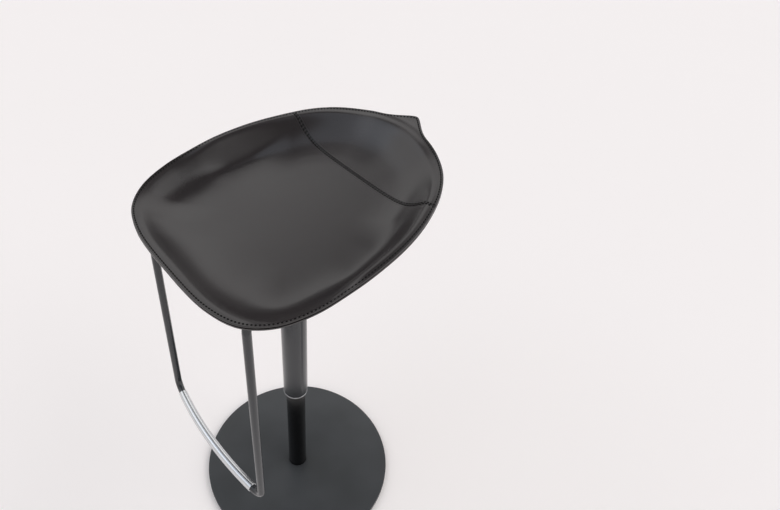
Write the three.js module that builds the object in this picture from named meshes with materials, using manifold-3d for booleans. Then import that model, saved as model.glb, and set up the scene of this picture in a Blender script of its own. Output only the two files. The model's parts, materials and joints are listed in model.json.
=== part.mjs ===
// Saddle stool with a sewn hide seat, a gas spring in a telescopic column, a hung footrest and a disc base.
// Millimetres, +Z up. The origin is where the column's axis meets the floor; the seat's beak points to +Y.
import * as THREE from "three";
import { mergeVertices } from "three/addons/utils/BufferGeometryUtils.js";
import Module from "manifold-3d";

const wasm = await Module();
wasm.setup();

// Shared fits
const fitGap = 0.3;
const cutOverrun = 2;

// Base
const baseRadius = 210;
const baseThickness = 8;
const baseChamfer = 1.2;
const padRadius = 202;
const padThickness = 2;
const padChamfer = 0.8;
const tubeGrooveDepth = 1.6;
const baseBoltRadius = 5;
const baseBoltHeadRadius = 9;
const baseBoltHeadHeight = 3.2;
const baseBoltReach = 26;
const baseBoltHexRadius = 3.5;
const baseBoltHexDepth = 2;
const baseWasherRadius = 10;
const baseWasherThickness = 1.5;

// Stand tube
const standTubeRadius = 20;
const standTubeWall = 2;
const plugHeight = 30;
const columnBushLength = 42;
const columnBushFlange = 2;
const thrustSeatBottom = 60;
const thrustSeatThickness = 4;

// Swivel bearing
const raceThickness = 2.4;
const raceOuterRadius = 13;
const ballRadius = 2;
const ballCount = 8;
const cageThickness = 1.4;
const cageWall = 5;

// Gas spring
const gasRodRadius = 5;
const gasRodTailRadius = 4;
const gasRodTailDrop = 10;
const gasRodShoulderHeight = 5;
const gasRodShoulderRadius = 8;
const clipThickness = 1.5;
const clipRadius = 8;
const clipGrooveDepth = 0.8;
const clipDrop = 3;
const cylinderRadius = 14;
const cylinderWall = 3;
const cylinderEngagement = 70;
const valveBlockHeight = 51.8;
const glandLength = 15;
const pistonHeight = 10;
const heightTravel = 235;
const pistonEndRoom = 12;
const taperLength = 49;
const taperShrink = 1.1;
const pinRadius = 4;
const pinProud = 7;
const pinLength = 38;
const pinTravel = 4;

// Grey outer tube
const outerTubeRadius = 25;
const outerTubeWall = 2.5;
const tubeOverlap = 122;
const mouthRingHeight = 2.6;
const mouthRingRound = 0.8;
const guideLength = 24;

// Hub and mounting plate
const flangeTop = 708;
const plateThickness = 3;
const channelDepth = 18;
const channelHalfWidth = 56;
const plateHalfLength = 62;
const plateFlangeWidth = 30;
const plateCornerRadius = 8;
const hubLength = 37;
const hubNeckRadius = 18;
const tubeScrewRadius = 2.5;
const tubeScrewDepth = 6;
const tubeScrewDrop = 18;
const tubeScrewHexRadius = 1.3;

// Lever
const leverRodRadius = 4;
const leverNoseRadius = 5;
const leverNoseWidth = 9;
const leverArm = 25;
const leverEyeRadius = 7;
const leverEyeWidth = 15;
const leverReach = 182;
const leverDrop = 12;
const leverBendRadius = 24;
const leverBendStart = 74;
const leverBendRun = 34;
const gripLength = 58;
const gripRadius = 8.5;
const gripWaist = 6.6;
const gripEndRound = 3;
const pivotPinRadius = 2.5;
const pivotPinHeadRadius = 4.5;
const pivotPinHeadHeight = 2;
const pivotPinTail = 4;
const pivotClipRadius = 5;
const pivotClipThickness = 1;
const earThickness = 2.5;
const earHalfWidth = 8;
const earAbovePin = 7;

// Footrest
const footBarHeight = 281;
const footBarApex = -203.2;
const footBarArcRadius = 880;
const footHalfWidth = 157.5;
const footRodRadius = 7;
const footBottomBend = 19;
const footUprightLean = 8.2;
const footUprightSplay = 8.5;
const footTopRise = 17.4;
const footTopBend = 10;
const footShoulderSide = 84;
const footShoulderBack = -113;
const footShoulderBend = 30;
const footLegSide = 38;
const footLegBack = 60;
const footLegFront = -66;
const footLegBend = 34;
const sleeveHalfSpan = 132;
const sleeveRadius = 8.5;
const sleeveWall = 1.2;
const clampBack = 45;
const clampHalfWidth = 9;
const clampSideWall = 9;
const clampFloor = 3.5;
const clampChamfer = 2;
const clampScrewSide = 20;

// Screws
const screwRadius = 3;
const screwHeadRadius = 5.6;
const screwHeadHeight = 3.4;
const screwHexRadius = 2.1;
const screwHexDepth = 1.8;
const seatScrewSide = 44;
const seatScrewBack = 71;
const seatScrewBite = 12;
const clampScrewProud = 3;

// Seat
const seatHalfWidth = 221.2;
const seatFront = 222.9;
const seatBack = 248.4;
const seatFrontRimRise = 37;
const seatRimRise = 78.5;
const seatPole = 10;
const beakReach = 23.2;
const beakHalfWidth = 52;
const beakTipRadius = 8;
const beakLift = 4;
const floorClearance = 33;
const floorReach = 250;
const floorRise = 39;
const floorBow = 15;
const wallStart = 4;
const wallWidth = 72;
const hideThickness = 2.7;
const lowerHideThickness = 2.7;
const coreThickness = 3;
const coreEdgeThickness = 1.5;
const coreInset = 3;
const coreTaper = 22;
const bossRadius = 11;
const bossHoleGap = 1;
const seamBack = 133;
const seamFlare = 8;

// Shares and counts of the seat's form
const crestShare = 1.02;
const seamFlarePowerShare = 6;
const wallRingShares = [0, 0.11, 0.25, 0.45, 0.68, 1];
const innerRingShare = 0.48;
const tipCrowdingShare = 0.35;
const endCrowdingShare = 0.3;
const seatDivisions = 56;

// Half of the rim without its beak, from the back to the front: side, way from front to back, and rise,
// as shares of the half width, the length and the rim's rise
const rimShares = [
  [0, 1, 1.01],
  [0.248, 0.982, 0.986],
  [0.437, 0.95, 0.916],
  [0.617, 0.893, 0.856],
  [0.754, 0.818, 0.787],
  [0.88, 0.701, 0.678],
  [0.955, 0.587, 0.593],
  [0.994, 0.46, 0.493],
  [0.998, 0.352, 0.383],
  [0.976, 0.235, 0.259],
  [0.896, 0.129, 0.144],
  [0.739, 0.052, 0.06],
  [0.483, 0.011, 0.018],
  [0, 0, 0],
];

// Counts of sides
const smallSides = 16;
const tubeSides = 32;
const baseSides = 64;
const rodSides = 12;
const stepsPerQuarter = 5;

const materials = {
  graphite: new THREE.MeshStandardMaterial({ color: 0x3b3c3e, roughness: 0.62, metalness: 0.2 }),
  blackGloss: new THREE.MeshStandardMaterial({ color: 0x101113, roughness: 0.3, metalness: 0.3 }),
  greySatin: new THREE.MeshStandardMaterial({ color: 0x5a5b5d, roughness: 0.38, metalness: 0.6 }),
  chrome: new THREE.MeshStandardMaterial({ color: 0xc9cbce, roughness: 0.08, metalness: 1 }),
  brushed: new THREE.MeshStandardMaterial({ color: 0xb9babc, roughness: 0.3, metalness: 1 }),
  steel: new THREE.MeshStandardMaterial({ color: 0x8b8d90, roughness: 0.4, metalness: 0.9 }),
  zinc: new THREE.MeshStandardMaterial({ color: 0x9fa2a6, roughness: 0.45, metalness: 0.8 }),
  nylon: new THREE.MeshStandardMaterial({ color: 0x1d1e20, roughness: 0.6, metalness: 0 }),
  rubber: new THREE.MeshStandardMaterial({ color: 0x17181a, roughness: 0.9, metalness: 0 }),
  hide: new THREE.MeshStandardMaterial({ color: 0x2e2a2a, roughness: 0.5, metalness: 0 }),
};

const stool = new THREE.Group();

// A closed geometry as a solid
function solidOf(geometry) {
  const loose = geometry.index ? geometry.toNonIndexed() : geometry.clone();
  loose.deleteAttribute("normal");
  loose.deleteAttribute("uv");
  const merged = mergeVertices(loose, 1e-4);
  const corners = merged.index.array;
  const kept = [];
  for (let i = 0; i < corners.length; i += 3) {
    const [a, b, c] = corners.slice(i, i + 3);
    if (a !== b && b !== c && c !== a) kept.push(a, b, c);
  }
  const triVerts = new Uint32Array(kept);
  const vertProperties = merged.attributes.position.array;
  return new wasm.Manifold(new wasm.Mesh({ numProp: 3, vertProperties, triVerts }));
}

// A solid as a geometry
function geometryOf(solid) {
  const mesh = solid.getMesh();
  const geometry = new THREE.BufferGeometry();
  geometry.setAttribute("position", new THREE.BufferAttribute(new Float32Array(mesh.vertProperties), 3));
  geometry.setIndex(new THREE.BufferAttribute(new Uint32Array(mesh.triVerts), 1));
  geometry.computeVertexNormals();
  return geometry;
}

function addPart(name, solid, material, group = stool) {
  const mesh = new THREE.Mesh(geometryOf(solid), material);
  mesh.name = name;
  group.add(mesh);
  return mesh;
}

// A solid turned about the Z axis from its section, a list of [radius, height] that runs anticlockwise
function turned(section, sides) {
  const onAxis = section[0][0] === 0 && section.at(-1)[0] === 0;
  const closed = onAxis ? section : [...section, section[0]];
  const points = closed.map(([radius, height]) => new THREE.Vector2(radius, height));
  return solidOf(new THREE.LatheGeometry(points, sides).rotateX(Math.PI / 2));
}

const disc = (radius, bottom, top, sides = smallSides) =>
  turned([[0, bottom], [radius, bottom], [radius, top], [0, top]], sides);

const ring = (inner, outer, bottom, top, sides = smallSides) =>
  turned([[inner, bottom], [outer, bottom], [outer, top], [inner, top]], sides);

// A hexagonal plug for a key recess, its corners at the given radius
const hexPlug = (radius, bottom, top) => turned([[0, bottom], [radius, bottom], [radius, top], [0, top]], 6);

const moved = (solid, x, y, z) => solid.translate([x, y, z]);

// A straight prism of an outline in the XY plane
function prism(outline, bottom, top) {
  const shape = new THREE.Shape(outline.map(([x, y]) => new THREE.Vector2(x, y)));
  const geometry = new THREE.ExtrudeGeometry(shape, { depth: top - bottom, bevelEnabled: false });
  return solidOf(geometry.translate(0, 0, bottom));
}

const box = (low, high) =>
  prism([[low[0], low[1]], [high[0], low[1]], [high[0], high[1]], [low[0], high[1]]], low[2], high[2]);

// A cylinder along the Y axis
const crossPin = (radius, x, z, from, to, sides = smallSides) =>
  moved(disc(radius, from, to, sides).rotate([-90, 0, 0]), x, 0, z);

// A path that stops at chosen stations, so that straight runs need no steps
class StationPath extends THREE.Curve {
  constructor(stations) {
    super();
    this.stations = stations;
  }

  station(share) {
    return this.stations[Math.round(share * (this.stations.length - 1))];
  }

  getPoint(share, target = new THREE.Vector3()) {
    return target.copy(this.station(share).point);
  }

  getPointAt(share, target) {
    return this.getPoint(share, target);
  }

  getTangent(share, target = new THREE.Vector3()) {
    return target.copy(this.station(share).tangent);
  }

  getTangentAt(share, target) {
    return this.getTangent(share, target);
  }
}

// Stations along straight runs whose corners are bent to the given radii
function bentStations(corners, radii) {
  const stations = [];
  const along = (from, to) => to.clone().sub(from).normalize();
  const first = corners[0];
  stations.push({ point: first.clone(), tangent: along(first, corners[1]) });
  radii.forEach((radius, index) => {
    const corner = corners[index + 1];
    const before = along(corners[index], corner);
    const after = along(corner, corners[index + 2]);
    const turn = before.angleTo(after);
    const run = radius * Math.tan(turn / 2);
    const start = corner.clone().addScaledVector(before, -run);
    const inward = after.clone().addScaledVector(before, -after.dot(before)).normalize();
    const centre = start.clone().addScaledVector(inward, radius);
    const bendSteps = Math.ceil((stepsPerQuarter * turn) / (Math.PI / 2));
    for (let step = 0; step <= bendSteps; step++) {
      const angle = (turn * step) / bendSteps;
      const point = centre
        .clone()
        .addScaledVector(inward, -radius * Math.cos(angle))
        .addScaledVector(before, radius * Math.sin(angle));
      const tangent = before.clone().multiplyScalar(Math.cos(angle)).addScaledVector(inward, Math.sin(angle));
      stations.push({ point, tangent });
    }
  });
  return stations;
}

function lastStation(corners) {
  const [from, to] = corners.slice(-2);
  return { point: to.clone(), tangent: to.clone().sub(from).normalize() };
}

const circlePoints = (radius, sides) =>
  Array.from({ length: sides }, (_, i) => {
    const angle = (2 * Math.PI * (i + 0.5)) / sides;
    return new THREE.Vector2(radius * Math.cos(angle), radius * Math.sin(angle));
  });

// A round bar or tube along a list of stations
function bar(stations, radius, boreRadius = 0, sides = rodSides) {
  const shape = new THREE.Shape(circlePoints(radius, sides));
  if (boreRadius > 0) shape.holes.push(new THREE.Path(circlePoints(boreRadius, sides)));
  const extrudePath = new StationPath(stations);
  const steps = stations.length - 1;
  return solidOf(new THREE.ExtrudeGeometry(shape, { steps, extrudePath, bevelEnabled: false }));
}

// Heights and radii that several pieces share
const plateBottom = padThickness + fitGap;
const baseTop = plateBottom + baseThickness;
const tubeInner = standTubeRadius - standTubeWall;
const outerTubeInner = outerTubeRadius - outerTubeWall;
const plugRadius = tubeInner - fitGap;
const channelTop = flangeTop - channelDepth;
const channelBottom = channelTop - plateThickness;
const cylinderTop = channelTop - fitGap;
const cylinderInner = cylinderRadius - cylinderWall;
const thrustSeatTop = thrustSeatBottom + thrustSeatThickness;
const lowerRaceBottom = thrustSeatTop + fitGap;
const ballCentre = lowerRaceBottom + raceThickness + fitGap + ballRadius;
const upperRaceBottom = ballCentre + ballRadius + fitGap;
const rodShoulderBottom = upperRaceBottom + raceThickness + fitGap;
const pinTop = cylinderTop + pinProud;
const pinBoreBottom = pinTop - pinLength - pinTravel - fitGap;
const hollowTop = pinBoreBottom - valveBlockHeight;
const pistonBottom = hollowTop - pistonEndRoom - heightTravel - pistonHeight;
const cylinderBottom = pistonBottom - 2 * fitGap - glandLength;
const standTubeTop = cylinderBottom + cylinderEngagement;
const outerTubeMouth = standTubeTop - tubeOverlap;
const leverHeight = pinTop + fitGap + leverNoseRadius;
const seatFrontRim = flangeTop + seatFrontRimRise;
const floorLevel = flangeTop + floorClearance;

function buildBase() {
  const headTop = plateBottom + fitGap + baseBoltHeadHeight;
  const washerBottom = headTop + fitGap;
  const washerTop = washerBottom + baseWasherThickness;
  const boltHole = baseBoltRadius + fitGap;
  const pocket = baseWasherRadius + fitGap;
  const pocketTop = washerTop + fitGap;

  addPart(
    "base_pad",
    turned(
      [
        [0, 0],
        [padRadius - padChamfer, 0],
        [padRadius, padChamfer],
        [padRadius, padThickness],
        [0, padThickness],
      ],
      baseSides,
    ),
    materials.rubber,
  );

  const groove = ring(
    plugRadius,
    standTubeRadius + fitGap,
    baseTop - tubeGrooveDepth,
    baseTop + cutOverrun,
    tubeSides,
  );
  const plate = turned(
    [
      [boltHole, pocketTop],
      [pocket, pocketTop],
      [pocket, plateBottom],
      [baseRadius - baseChamfer, plateBottom],
      [baseRadius, plateBottom + baseChamfer],
      [baseRadius, baseTop - baseChamfer],
      [baseRadius - baseChamfer, baseTop],
      [boltHole, baseTop],
    ],
    baseSides,
  ).subtract(groove);
  addPart("base_plate", plate, materials.graphite);

  const bolt = turned(
    [
      [0, plateBottom + fitGap],
      [baseBoltHeadRadius, plateBottom + fitGap],
      [baseBoltHeadRadius, headTop],
      [baseBoltRadius, headTop],
      [baseBoltRadius, headTop + baseBoltReach],
      [0, headTop + baseBoltReach],
    ],
    smallSides,
  ).subtract(hexPlug(baseBoltHexRadius, plateBottom - cutOverrun, plateBottom + fitGap + baseBoltHexDepth));
  addPart("base_bolt", bolt, materials.zinc);
  addPart(
    "base_washer",
    ring(baseBoltRadius + fitGap, baseWasherRadius, washerBottom, washerTop),
    materials.zinc,
  );

  const plugBottom = baseTop + fitGap;
  const threadTop = headTop + baseBoltReach + fitGap;
  addPart(
    "foot_plug",
    turned(
      [
        [boltHole, plugBottom],
        [plugRadius, plugBottom],
        [plugRadius, plugBottom + plugHeight],
        [0, plugBottom + plugHeight],
        [0, threadTop],
        [boltHole, threadTop],
      ],
      smallSides,
    ),
    materials.steel,
  );
}

function buildStandTube() {
  addPart(
    "lower_column",
    ring(tubeInner, standTubeRadius, baseTop - tubeGrooveDepth + fitGap, standTubeTop, tubeSides),
    materials.blackGloss,
  );
  const bushTop = standTubeTop + fitGap;
  const bushInner = cylinderRadius + fitGap;
  addPart(
    "column_bush",
    turned(
      [
        [bushInner, bushTop - columnBushLength],
        [plugRadius, bushTop - columnBushLength],
        [plugRadius, bushTop],
        [standTubeRadius, bushTop],
        [standTubeRadius, bushTop + columnBushFlange],
        [bushInner, bushTop + columnBushFlange],
      ],
      tubeSides,
    ),
    materials.nylon,
  );
  addPart(
    "thrust_seat",
    ring(gasRodTailRadius + fitGap, plugRadius, thrustSeatBottom, thrustSeatTop),
    materials.steel,
  );
}

function buildBearing() {
  const bore = gasRodTailRadius + fitGap;
  addPart(
    "bearing_lower_race",
    ring(bore, raceOuterRadius, lowerRaceBottom, lowerRaceBottom + raceThickness),
    materials.steel,
  );
  addPart(
    "bearing_upper_race",
    ring(bore, raceOuterRadius, upperRaceBottom, upperRaceBottom + raceThickness),
    materials.steel,
  );
  const pitch = (bore + raceOuterRadius) / 2;
  let cage = ring(
    pitch - cageWall / 2,
    pitch + cageWall / 2,
    ballCentre - cageThickness / 2,
    ballCentre + cageThickness / 2,
  );
  for (let i = 0; i < ballCount; i++) {
    const angle = (2 * Math.PI * i) / ballCount;
    const ball = solidOf(new THREE.SphereGeometry(ballRadius, 6, 4));
    cage = cage.add(moved(ball, pitch * Math.cos(angle), pitch * Math.sin(angle), ballCentre));
  }
  addPart("bearing_balls", cage, materials.steel);
}

function buildGasRod() {
  const tailBottom = thrustSeatBottom - gasRodTailDrop;
  const clipBottom = thrustSeatBottom - clipDrop;
  const clipTop = clipBottom + clipThickness;
  const neck = gasRodTailRadius - clipGrooveDepth;
  const shoulderTop = rodShoulderBottom + gasRodShoulderHeight;
  addPart(
    "gas_rod",
    turned(
      [
        [0, tailBottom],
        [gasRodTailRadius, tailBottom],
        [gasRodTailRadius, clipBottom - fitGap],
        [neck, clipBottom - fitGap],
        [neck, clipTop + fitGap],
        [gasRodTailRadius, clipTop + fitGap],
        [gasRodTailRadius, rodShoulderBottom],
        [gasRodShoulderRadius, rodShoulderBottom],
        [gasRodShoulderRadius, shoulderTop],
        [gasRodRadius, shoulderTop],
        [gasRodRadius, pistonBottom - fitGap],
        [gasRodTailRadius, pistonBottom - fitGap],
        [gasRodTailRadius, pistonBottom + pistonHeight],
        [0, pistonBottom + pistonHeight],
      ],
      smallSides,
    ),
    materials.chrome,
  );
  const clip = ring(neck + fitGap, clipRadius, clipBottom, clipTop).subtract(
    box(
      [0, -neck - fitGap, clipBottom - cutOverrun],
      [clipRadius + cutOverrun, neck + fitGap, clipTop + cutOverrun],
    ),
  );
  addPart("rod_clip", clip, materials.steel);
  addPart(
    "gas_piston",
    ring(gasRodTailRadius + fitGap, cylinderInner - fitGap, pistonBottom, pistonBottom + pistonHeight),
    materials.nylon,
  );
}

function buildGasCylinder() {
  const pinBore = pinRadius + fitGap;
  addPart(
    "gas_cylinder",
    turned(
      [
        [0, hollowTop],
        [cylinderInner, hollowTop],
        [cylinderInner, cylinderBottom],
        [cylinderRadius, cylinderBottom],
        [cylinderRadius, cylinderTop - taperLength],
        [cylinderRadius - taperShrink, cylinderTop],
        [pinBore, cylinderTop],
        [pinBore, pinBoreBottom],
        [0, pinBoreBottom],
      ],
      tubeSides,
    ),
    materials.blackGloss,
  );
  addPart(
    "cylinder_gland",
    ring(
      gasRodRadius + fitGap,
      cylinderInner - fitGap,
      cylinderBottom + fitGap,
      cylinderBottom + glandLength,
    ),
    materials.nylon,
  );
  addPart("release_pin", disc(pinRadius, pinTop - pinLength, pinTop), materials.nylon);
}

function buildOuterTube() {
  const ringBottom = outerTubeMouth;
  const tubeBottom = ringBottom + mouthRingHeight + fitGap;
  const guideBore = standTubeRadius + fitGap;
  addPart(
    "mouth_ring",
    turned(
      [
        [guideBore, ringBottom],
        [outerTubeRadius - mouthRingRound, ringBottom],
        [outerTubeRadius, ringBottom + mouthRingRound],
        [outerTubeRadius, ringBottom + mouthRingHeight],
        [guideBore, ringBottom + mouthRingHeight],
      ],
      tubeSides,
    ),
    materials.brushed,
  );
  addPart(
    "tube_guide",
    ring(guideBore, outerTubeInner - fitGap, tubeBottom, tubeBottom + guideLength, tubeSides),
    materials.nylon,
  );

  // Two set screws pass through the tube's wall into the hub.
  const screwHeight = channelBottom - tubeScrewDrop;
  const screwEnd = outerTubeRadius - tubeScrewDepth;
  const drill = (from, radius) => {
    const way = disc(radius, from, outerTubeRadius + cutOverrun).rotate([0, 90, 0]);
    return moved(way.add(way.rotate([0, 0, 180])), 0, 0, screwHeight);
  };
  const screwHole = tubeScrewRadius + fitGap;
  const tube = ring(outerTubeInner, outerTubeRadius, tubeBottom, channelBottom - fitGap, tubeSides);
  addPart("upper_tube", tube.subtract(drill(0, screwHole)), materials.greySatin);

  const bore = cylinderRadius + fitGap;
  const hubTop = channelTop;
  const hubBottom = channelBottom - hubLength;
  const hub = turned(
    [
      [bore, hubBottom],
      [outerTubeInner - fitGap, hubBottom],
      [outerTubeInner - fitGap, channelBottom - fitGap],
      [hubNeckRadius, channelBottom - fitGap],
      [hubNeckRadius, hubTop],
      [bore - taperShrink, hubTop],
    ],
    tubeSides,
  );
  addPart("hub_socket", hub.subtract(drill(screwEnd - fitGap, screwHole)), materials.steel);
  for (const [name, turn] of [["tube_screw_right", 0], ["tube_screw_left", 180]]) {
    const screw = disc(tubeScrewRadius, screwEnd, outerTubeRadius).subtract(
      hexPlug(tubeScrewHexRadius, outerTubeRadius - screwHexDepth, outerTubeRadius + cutOverrun),
    );
    addPart(name, moved(screw.rotate([0, 90, 0]).rotate([0, 0, turn]), 0, 0, screwHeight), materials.zinc);
  }
}

// A rectangle with rounded corners about the origin
function roundedOutline(halfLength, halfWidth, radius, steps = 4) {
  const points = [];
  const quarters = [[1, 1, 0], [-1, 1, 90], [-1, -1, 180], [1, -1, 270]];
  for (const [alongX, alongY, start] of quarters) {
    for (let step = 0; step <= steps; step++) {
      const angle = THREE.MathUtils.degToRad(start + (90 * step) / steps);
      points.push([
        alongX * (halfLength - radius) + radius * Math.cos(angle),
        alongY * (halfWidth - radius) + radius * Math.sin(angle),
      ]);
    }
  }
  return points;
}

function buildMountingPlate() {
  const plateHalfWidth = channelHalfWidth + plateFlangeWidth;
  const body = prism(
    roundedOutline(plateHalfLength, plateHalfWidth, plateCornerRadius),
    channelBottom,
    flangeTop,
  );
  const over = plateHalfLength + cutOverrun;
  const channel = box(
    [-over, -channelHalfWidth, channelTop],
    [over, channelHalfWidth, flangeTop + cutOverrun],
  );
  const webOuter = channelHalfWidth + plateThickness;
  const under = (side) => {
    const edges = [side * webOuter, side * (plateHalfWidth + cutOverrun)].sort((a, b) => a - b);
    return box([-over, edges[0], channelBottom - cutOverrun], [over, edges[1], flangeTop - plateThickness]);
  };
  let plate = body.subtract(channel).subtract(under(1)).subtract(under(-1));

  // Two ears carry the lever's pivot pin.
  const earInner = leverEyeWidth / 2 + fitGap;
  const earTop = leverHeight + earAbovePin;
  for (const side of [1, -1]) {
    const edges = [side * earInner, side * (earInner + earThickness)].sort((a, b) => a - b);
    const ear = box(
      [-leverArm - earHalfWidth, edges[0], channelTop - plateThickness / 2],
      [-leverArm + earHalfWidth, edges[1], leverHeight],
    );
    const earHead = crossPin(earHalfWidth, -leverArm, leverHeight, edges[0], edges[1]);
    plate = plate.add(ear).add(earHead.subtract(box(
      [-leverArm - earHalfWidth - cutOverrun, edges[0] - cutOverrun, earTop],
      [-leverArm + earHalfWidth + cutOverrun, edges[1] + cutOverrun, earTop + earHalfWidth],
    )));
  }
  const pinWay = earInner + earThickness + cutOverrun;
  plate = plate.subtract(crossPin(pivotPinRadius + fitGap, -leverArm, leverHeight, -pinWay, pinWay));
  plate = plate.subtract(
    disc(hubNeckRadius + fitGap, channelBottom - cutOverrun, channelTop + cutOverrun, tubeSides),
  );
  const hole = disc(screwRadius + fitGap, channelBottom - cutOverrun, flangeTop + cutOverrun);
  for (const x of [1, -1]) {
    for (const y of [1, -1]) {
      plate = plate.subtract(moved(hole, x * seatScrewSide, y * seatScrewBack, 0));
      plate = plate.subtract(moved(hole, x * clampScrewSide, y * clampBack, 0));
    }
  }
  addPart("mounting_plate", plate, materials.steel);

  const headSide = earInner + earThickness + fitGap;
  const pin = crossPin(pivotPinRadius, -leverArm, leverHeight, -headSide, headSide + pivotPinTail).add(
    crossPin(pivotPinHeadRadius, -leverArm, leverHeight, -headSide - pivotPinHeadHeight, -headSide),
  );
  addPart("lever_pivot_pin", pin, materials.zinc);
  const clipEnd = headSide + pivotClipThickness;
  const clip = crossPin(pivotClipRadius, -leverArm, leverHeight, headSide, clipEnd);
  const clipBore = crossPin(
    pivotPinRadius + fitGap,
    -leverArm,
    leverHeight,
    headSide - cutOverrun,
    clipEnd + cutOverrun,
  );
  const clipSlot = box(
    [-leverArm - pivotPinRadius, headSide - cutOverrun, leverHeight],
    [-leverArm + pivotPinRadius, clipEnd + cutOverrun, leverHeight + pivotClipRadius + cutOverrun],
  );
  addPart("pivot_clip", clip.subtract(clipBore).subtract(clipSlot), materials.zinc);
}

function buildLever() {
  const low = leverHeight - leverDrop;
  const corners = [
    new THREE.Vector3(0, 0, leverHeight),
    new THREE.Vector3(-leverBendStart, 0, leverHeight),
    new THREE.Vector3(-leverBendStart - leverBendRun, 0, low),
    new THREE.Vector3(-leverReach, 0, low),
  ];
  const stations = bentStations(corners, [leverBendRadius, leverBendRadius]);
  stations.push(lastStation(corners));
  const nose = crossPin(leverNoseRadius, 0, leverHeight, -leverNoseWidth / 2, leverNoseWidth / 2);
  const eye = crossPin(leverEyeRadius, -leverArm, leverHeight, -leverEyeWidth / 2, leverEyeWidth / 2);
  const bore = crossPin(
    pivotPinRadius + fitGap,
    -leverArm,
    leverHeight,
    -leverEyeWidth / 2 - cutOverrun,
    leverEyeWidth / 2 + cutOverrun,
  );
  addPart("lift_lever", bar(stations, leverRodRadius).add(nose).add(eye).subtract(bore), materials.steel);

  const gripStart = leverReach - gripLength + gripEndRound;
  const bored = leverRodRadius + fitGap;
  const grip = turned(
    [
      [bored, 0],
      [gripRadius - gripEndRound, 0],
      [gripRadius, gripEndRound],
      [gripWaist, gripLength / 2],
      [gripRadius, gripLength - gripEndRound],
      [gripRadius - gripEndRound, gripLength],
      [0, gripLength],
      [0, leverReach - gripStart + fitGap],
      [bored, leverReach - gripStart + fitGap],
    ],
    smallSides,
  );
  addPart("lever_grip", moved(grip.rotate([0, -90, 0]), -gripStart, 0, low), materials.nylon);
}

// The bar's bow in plan: a circle about a centre on the Y axis
const footArcCentre = footBarApex + footBarArcRadius;
const footArcStation = (side) => {
  const back = Math.sqrt(footBarArcRadius ** 2 - side ** 2);
  return {
    point: new THREE.Vector3(side, footArcCentre - back, footBarHeight),
    tangent: new THREE.Vector3(-back, -side, 0).normalize(),
  };
};

const mirroredStation = ({ point, tangent }) => ({
  point: new THREE.Vector3(-point.x, point.y, point.z),
  tangent: new THREE.Vector3(tangent.x, -tangent.y, -tangent.z),
});

function buildFootrest() {
  const legHeight = channelBottom - fitGap - footRodRadius;
  const arcEnd = footArcStation(footHalfWidth - footBottomBend);
  const rise = new THREE.Vector3(-footUprightSplay, footUprightLean, flangeTop + footTopRise - footBarHeight);
  const bendRun = footBottomBend * Math.tan(rise.angleTo(arcEnd.tangent.clone().negate()) / 2);
  const bottom = arcEnd.point.clone().addScaledVector(arcEnd.tangent, -bendRun);
  const corners = [
    new THREE.Vector3(footLegSide, footLegBack, legHeight),
    new THREE.Vector3(footLegSide, footLegFront, legHeight),
    new THREE.Vector3(footShoulderSide, footShoulderBack, legHeight),
    bottom.clone().add(rise),
    bottom,
    arcEnd.point,
  ];
  const half = bentStations(corners, [footLegBend, footShoulderBend, footTopBend, footBottomBend]);
  const arcSteps = 14;
  const arc = Array.from({ length: arcSteps - 1 }, (_, i) =>
    footArcStation(arcEnd.point.x * (1 - (2 * (i + 1)) / arcSteps)),
  );
  const frame = bar([...half, ...arc, ...half.map(mirroredStation).reverse()], footRodRadius);
  addPart("footrest_frame", frame, materials.greySatin);

  const sleeveSteps = 12;
  const sleeveStations = Array.from({ length: sleeveSteps + 1 }, (_, i) =>
    footArcStation(sleeveHalfSpan * (1 - (2 * i) / sleeveSteps)),
  );
  addPart(
    "footrest_sleeve",
    bar(sleeveStations, sleeveRadius, sleeveRadius - sleeveWall, rodSides + 2),
    materials.brushed,
  );

  // Two saddle clamps hold both legs up against the plate.
  const clampSide = footLegSide + footRodRadius + clampSideWall;
  const clampTop = channelBottom - fitGap;
  const clampBottom = legHeight - footRodRadius - fitGap - clampFloor;
  const groove = footRodRadius + fitGap;
  for (const [name, back] of [["footrest_clamp_front", -clampBack], ["footrest_clamp_rear", clampBack]]) {
    const section = [
      [-clampSide, clampBottom + clampChamfer],
      [-clampSide + clampChamfer, clampBottom],
      [clampSide - clampChamfer, clampBottom],
      [clampSide, clampBottom + clampChamfer],
      [clampSide, clampTop],
      [-clampSide, clampTop],
    ];
    let clamp = prism(section, -clampHalfWidth, clampHalfWidth).rotate([90, 0, 0]).translate([0, back, 0]);
    for (const side of [1, -1]) {
      const centre = side * footLegSide;
      const from = back - clampHalfWidth - cutOverrun;
      const to = back + clampHalfWidth + cutOverrun;
      clamp = clamp
        .subtract(crossPin(groove, centre, legHeight, from, to, rodSides * 2))
        .subtract(box([centre - groove, from, legHeight], [centre + groove, to, clampTop + cutOverrun]));
      const hole = disc(screwRadius + fitGap, clampBottom - cutOverrun, clampTop + cutOverrun);
      clamp = clamp.subtract(moved(hole, side * clampScrewSide, back, 0));
    }
    addPart(name, clamp, materials.steel);
  }

  for (const [front, back] of [["front", -clampBack], ["rear", clampBack]]) {
    for (const [hand, side] of [["right", clampScrewSide], ["left", -clampScrewSide]]) {
      const screw = screwUp(clampBottom - fitGap, channelTop + clampScrewProud);
      addPart(`clamp_screw_${front}_${hand}`, moved(screw, side, back, 0), materials.zinc);
    }
  }
}

// A pan head screw that points up, its head's seat and its tip at the given heights
function screwUp(seat, tip) {
  const bottom = seat - screwHeadHeight;
  const body = turned(
    [
      [0, bottom],
      [screwHeadRadius - screwHeadHeight / 2, bottom],
      [screwHeadRadius, seat - screwHeadHeight / 2],
      [screwHeadRadius, seat],
      [screwRadius, seat],
      [screwRadius, tip],
      [0, tip],
    ],
    rodSides,
  );
  return body.subtract(hexPlug(screwHexRadius, bottom - cutOverrun, bottom + screwHexDepth));
}

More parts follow.
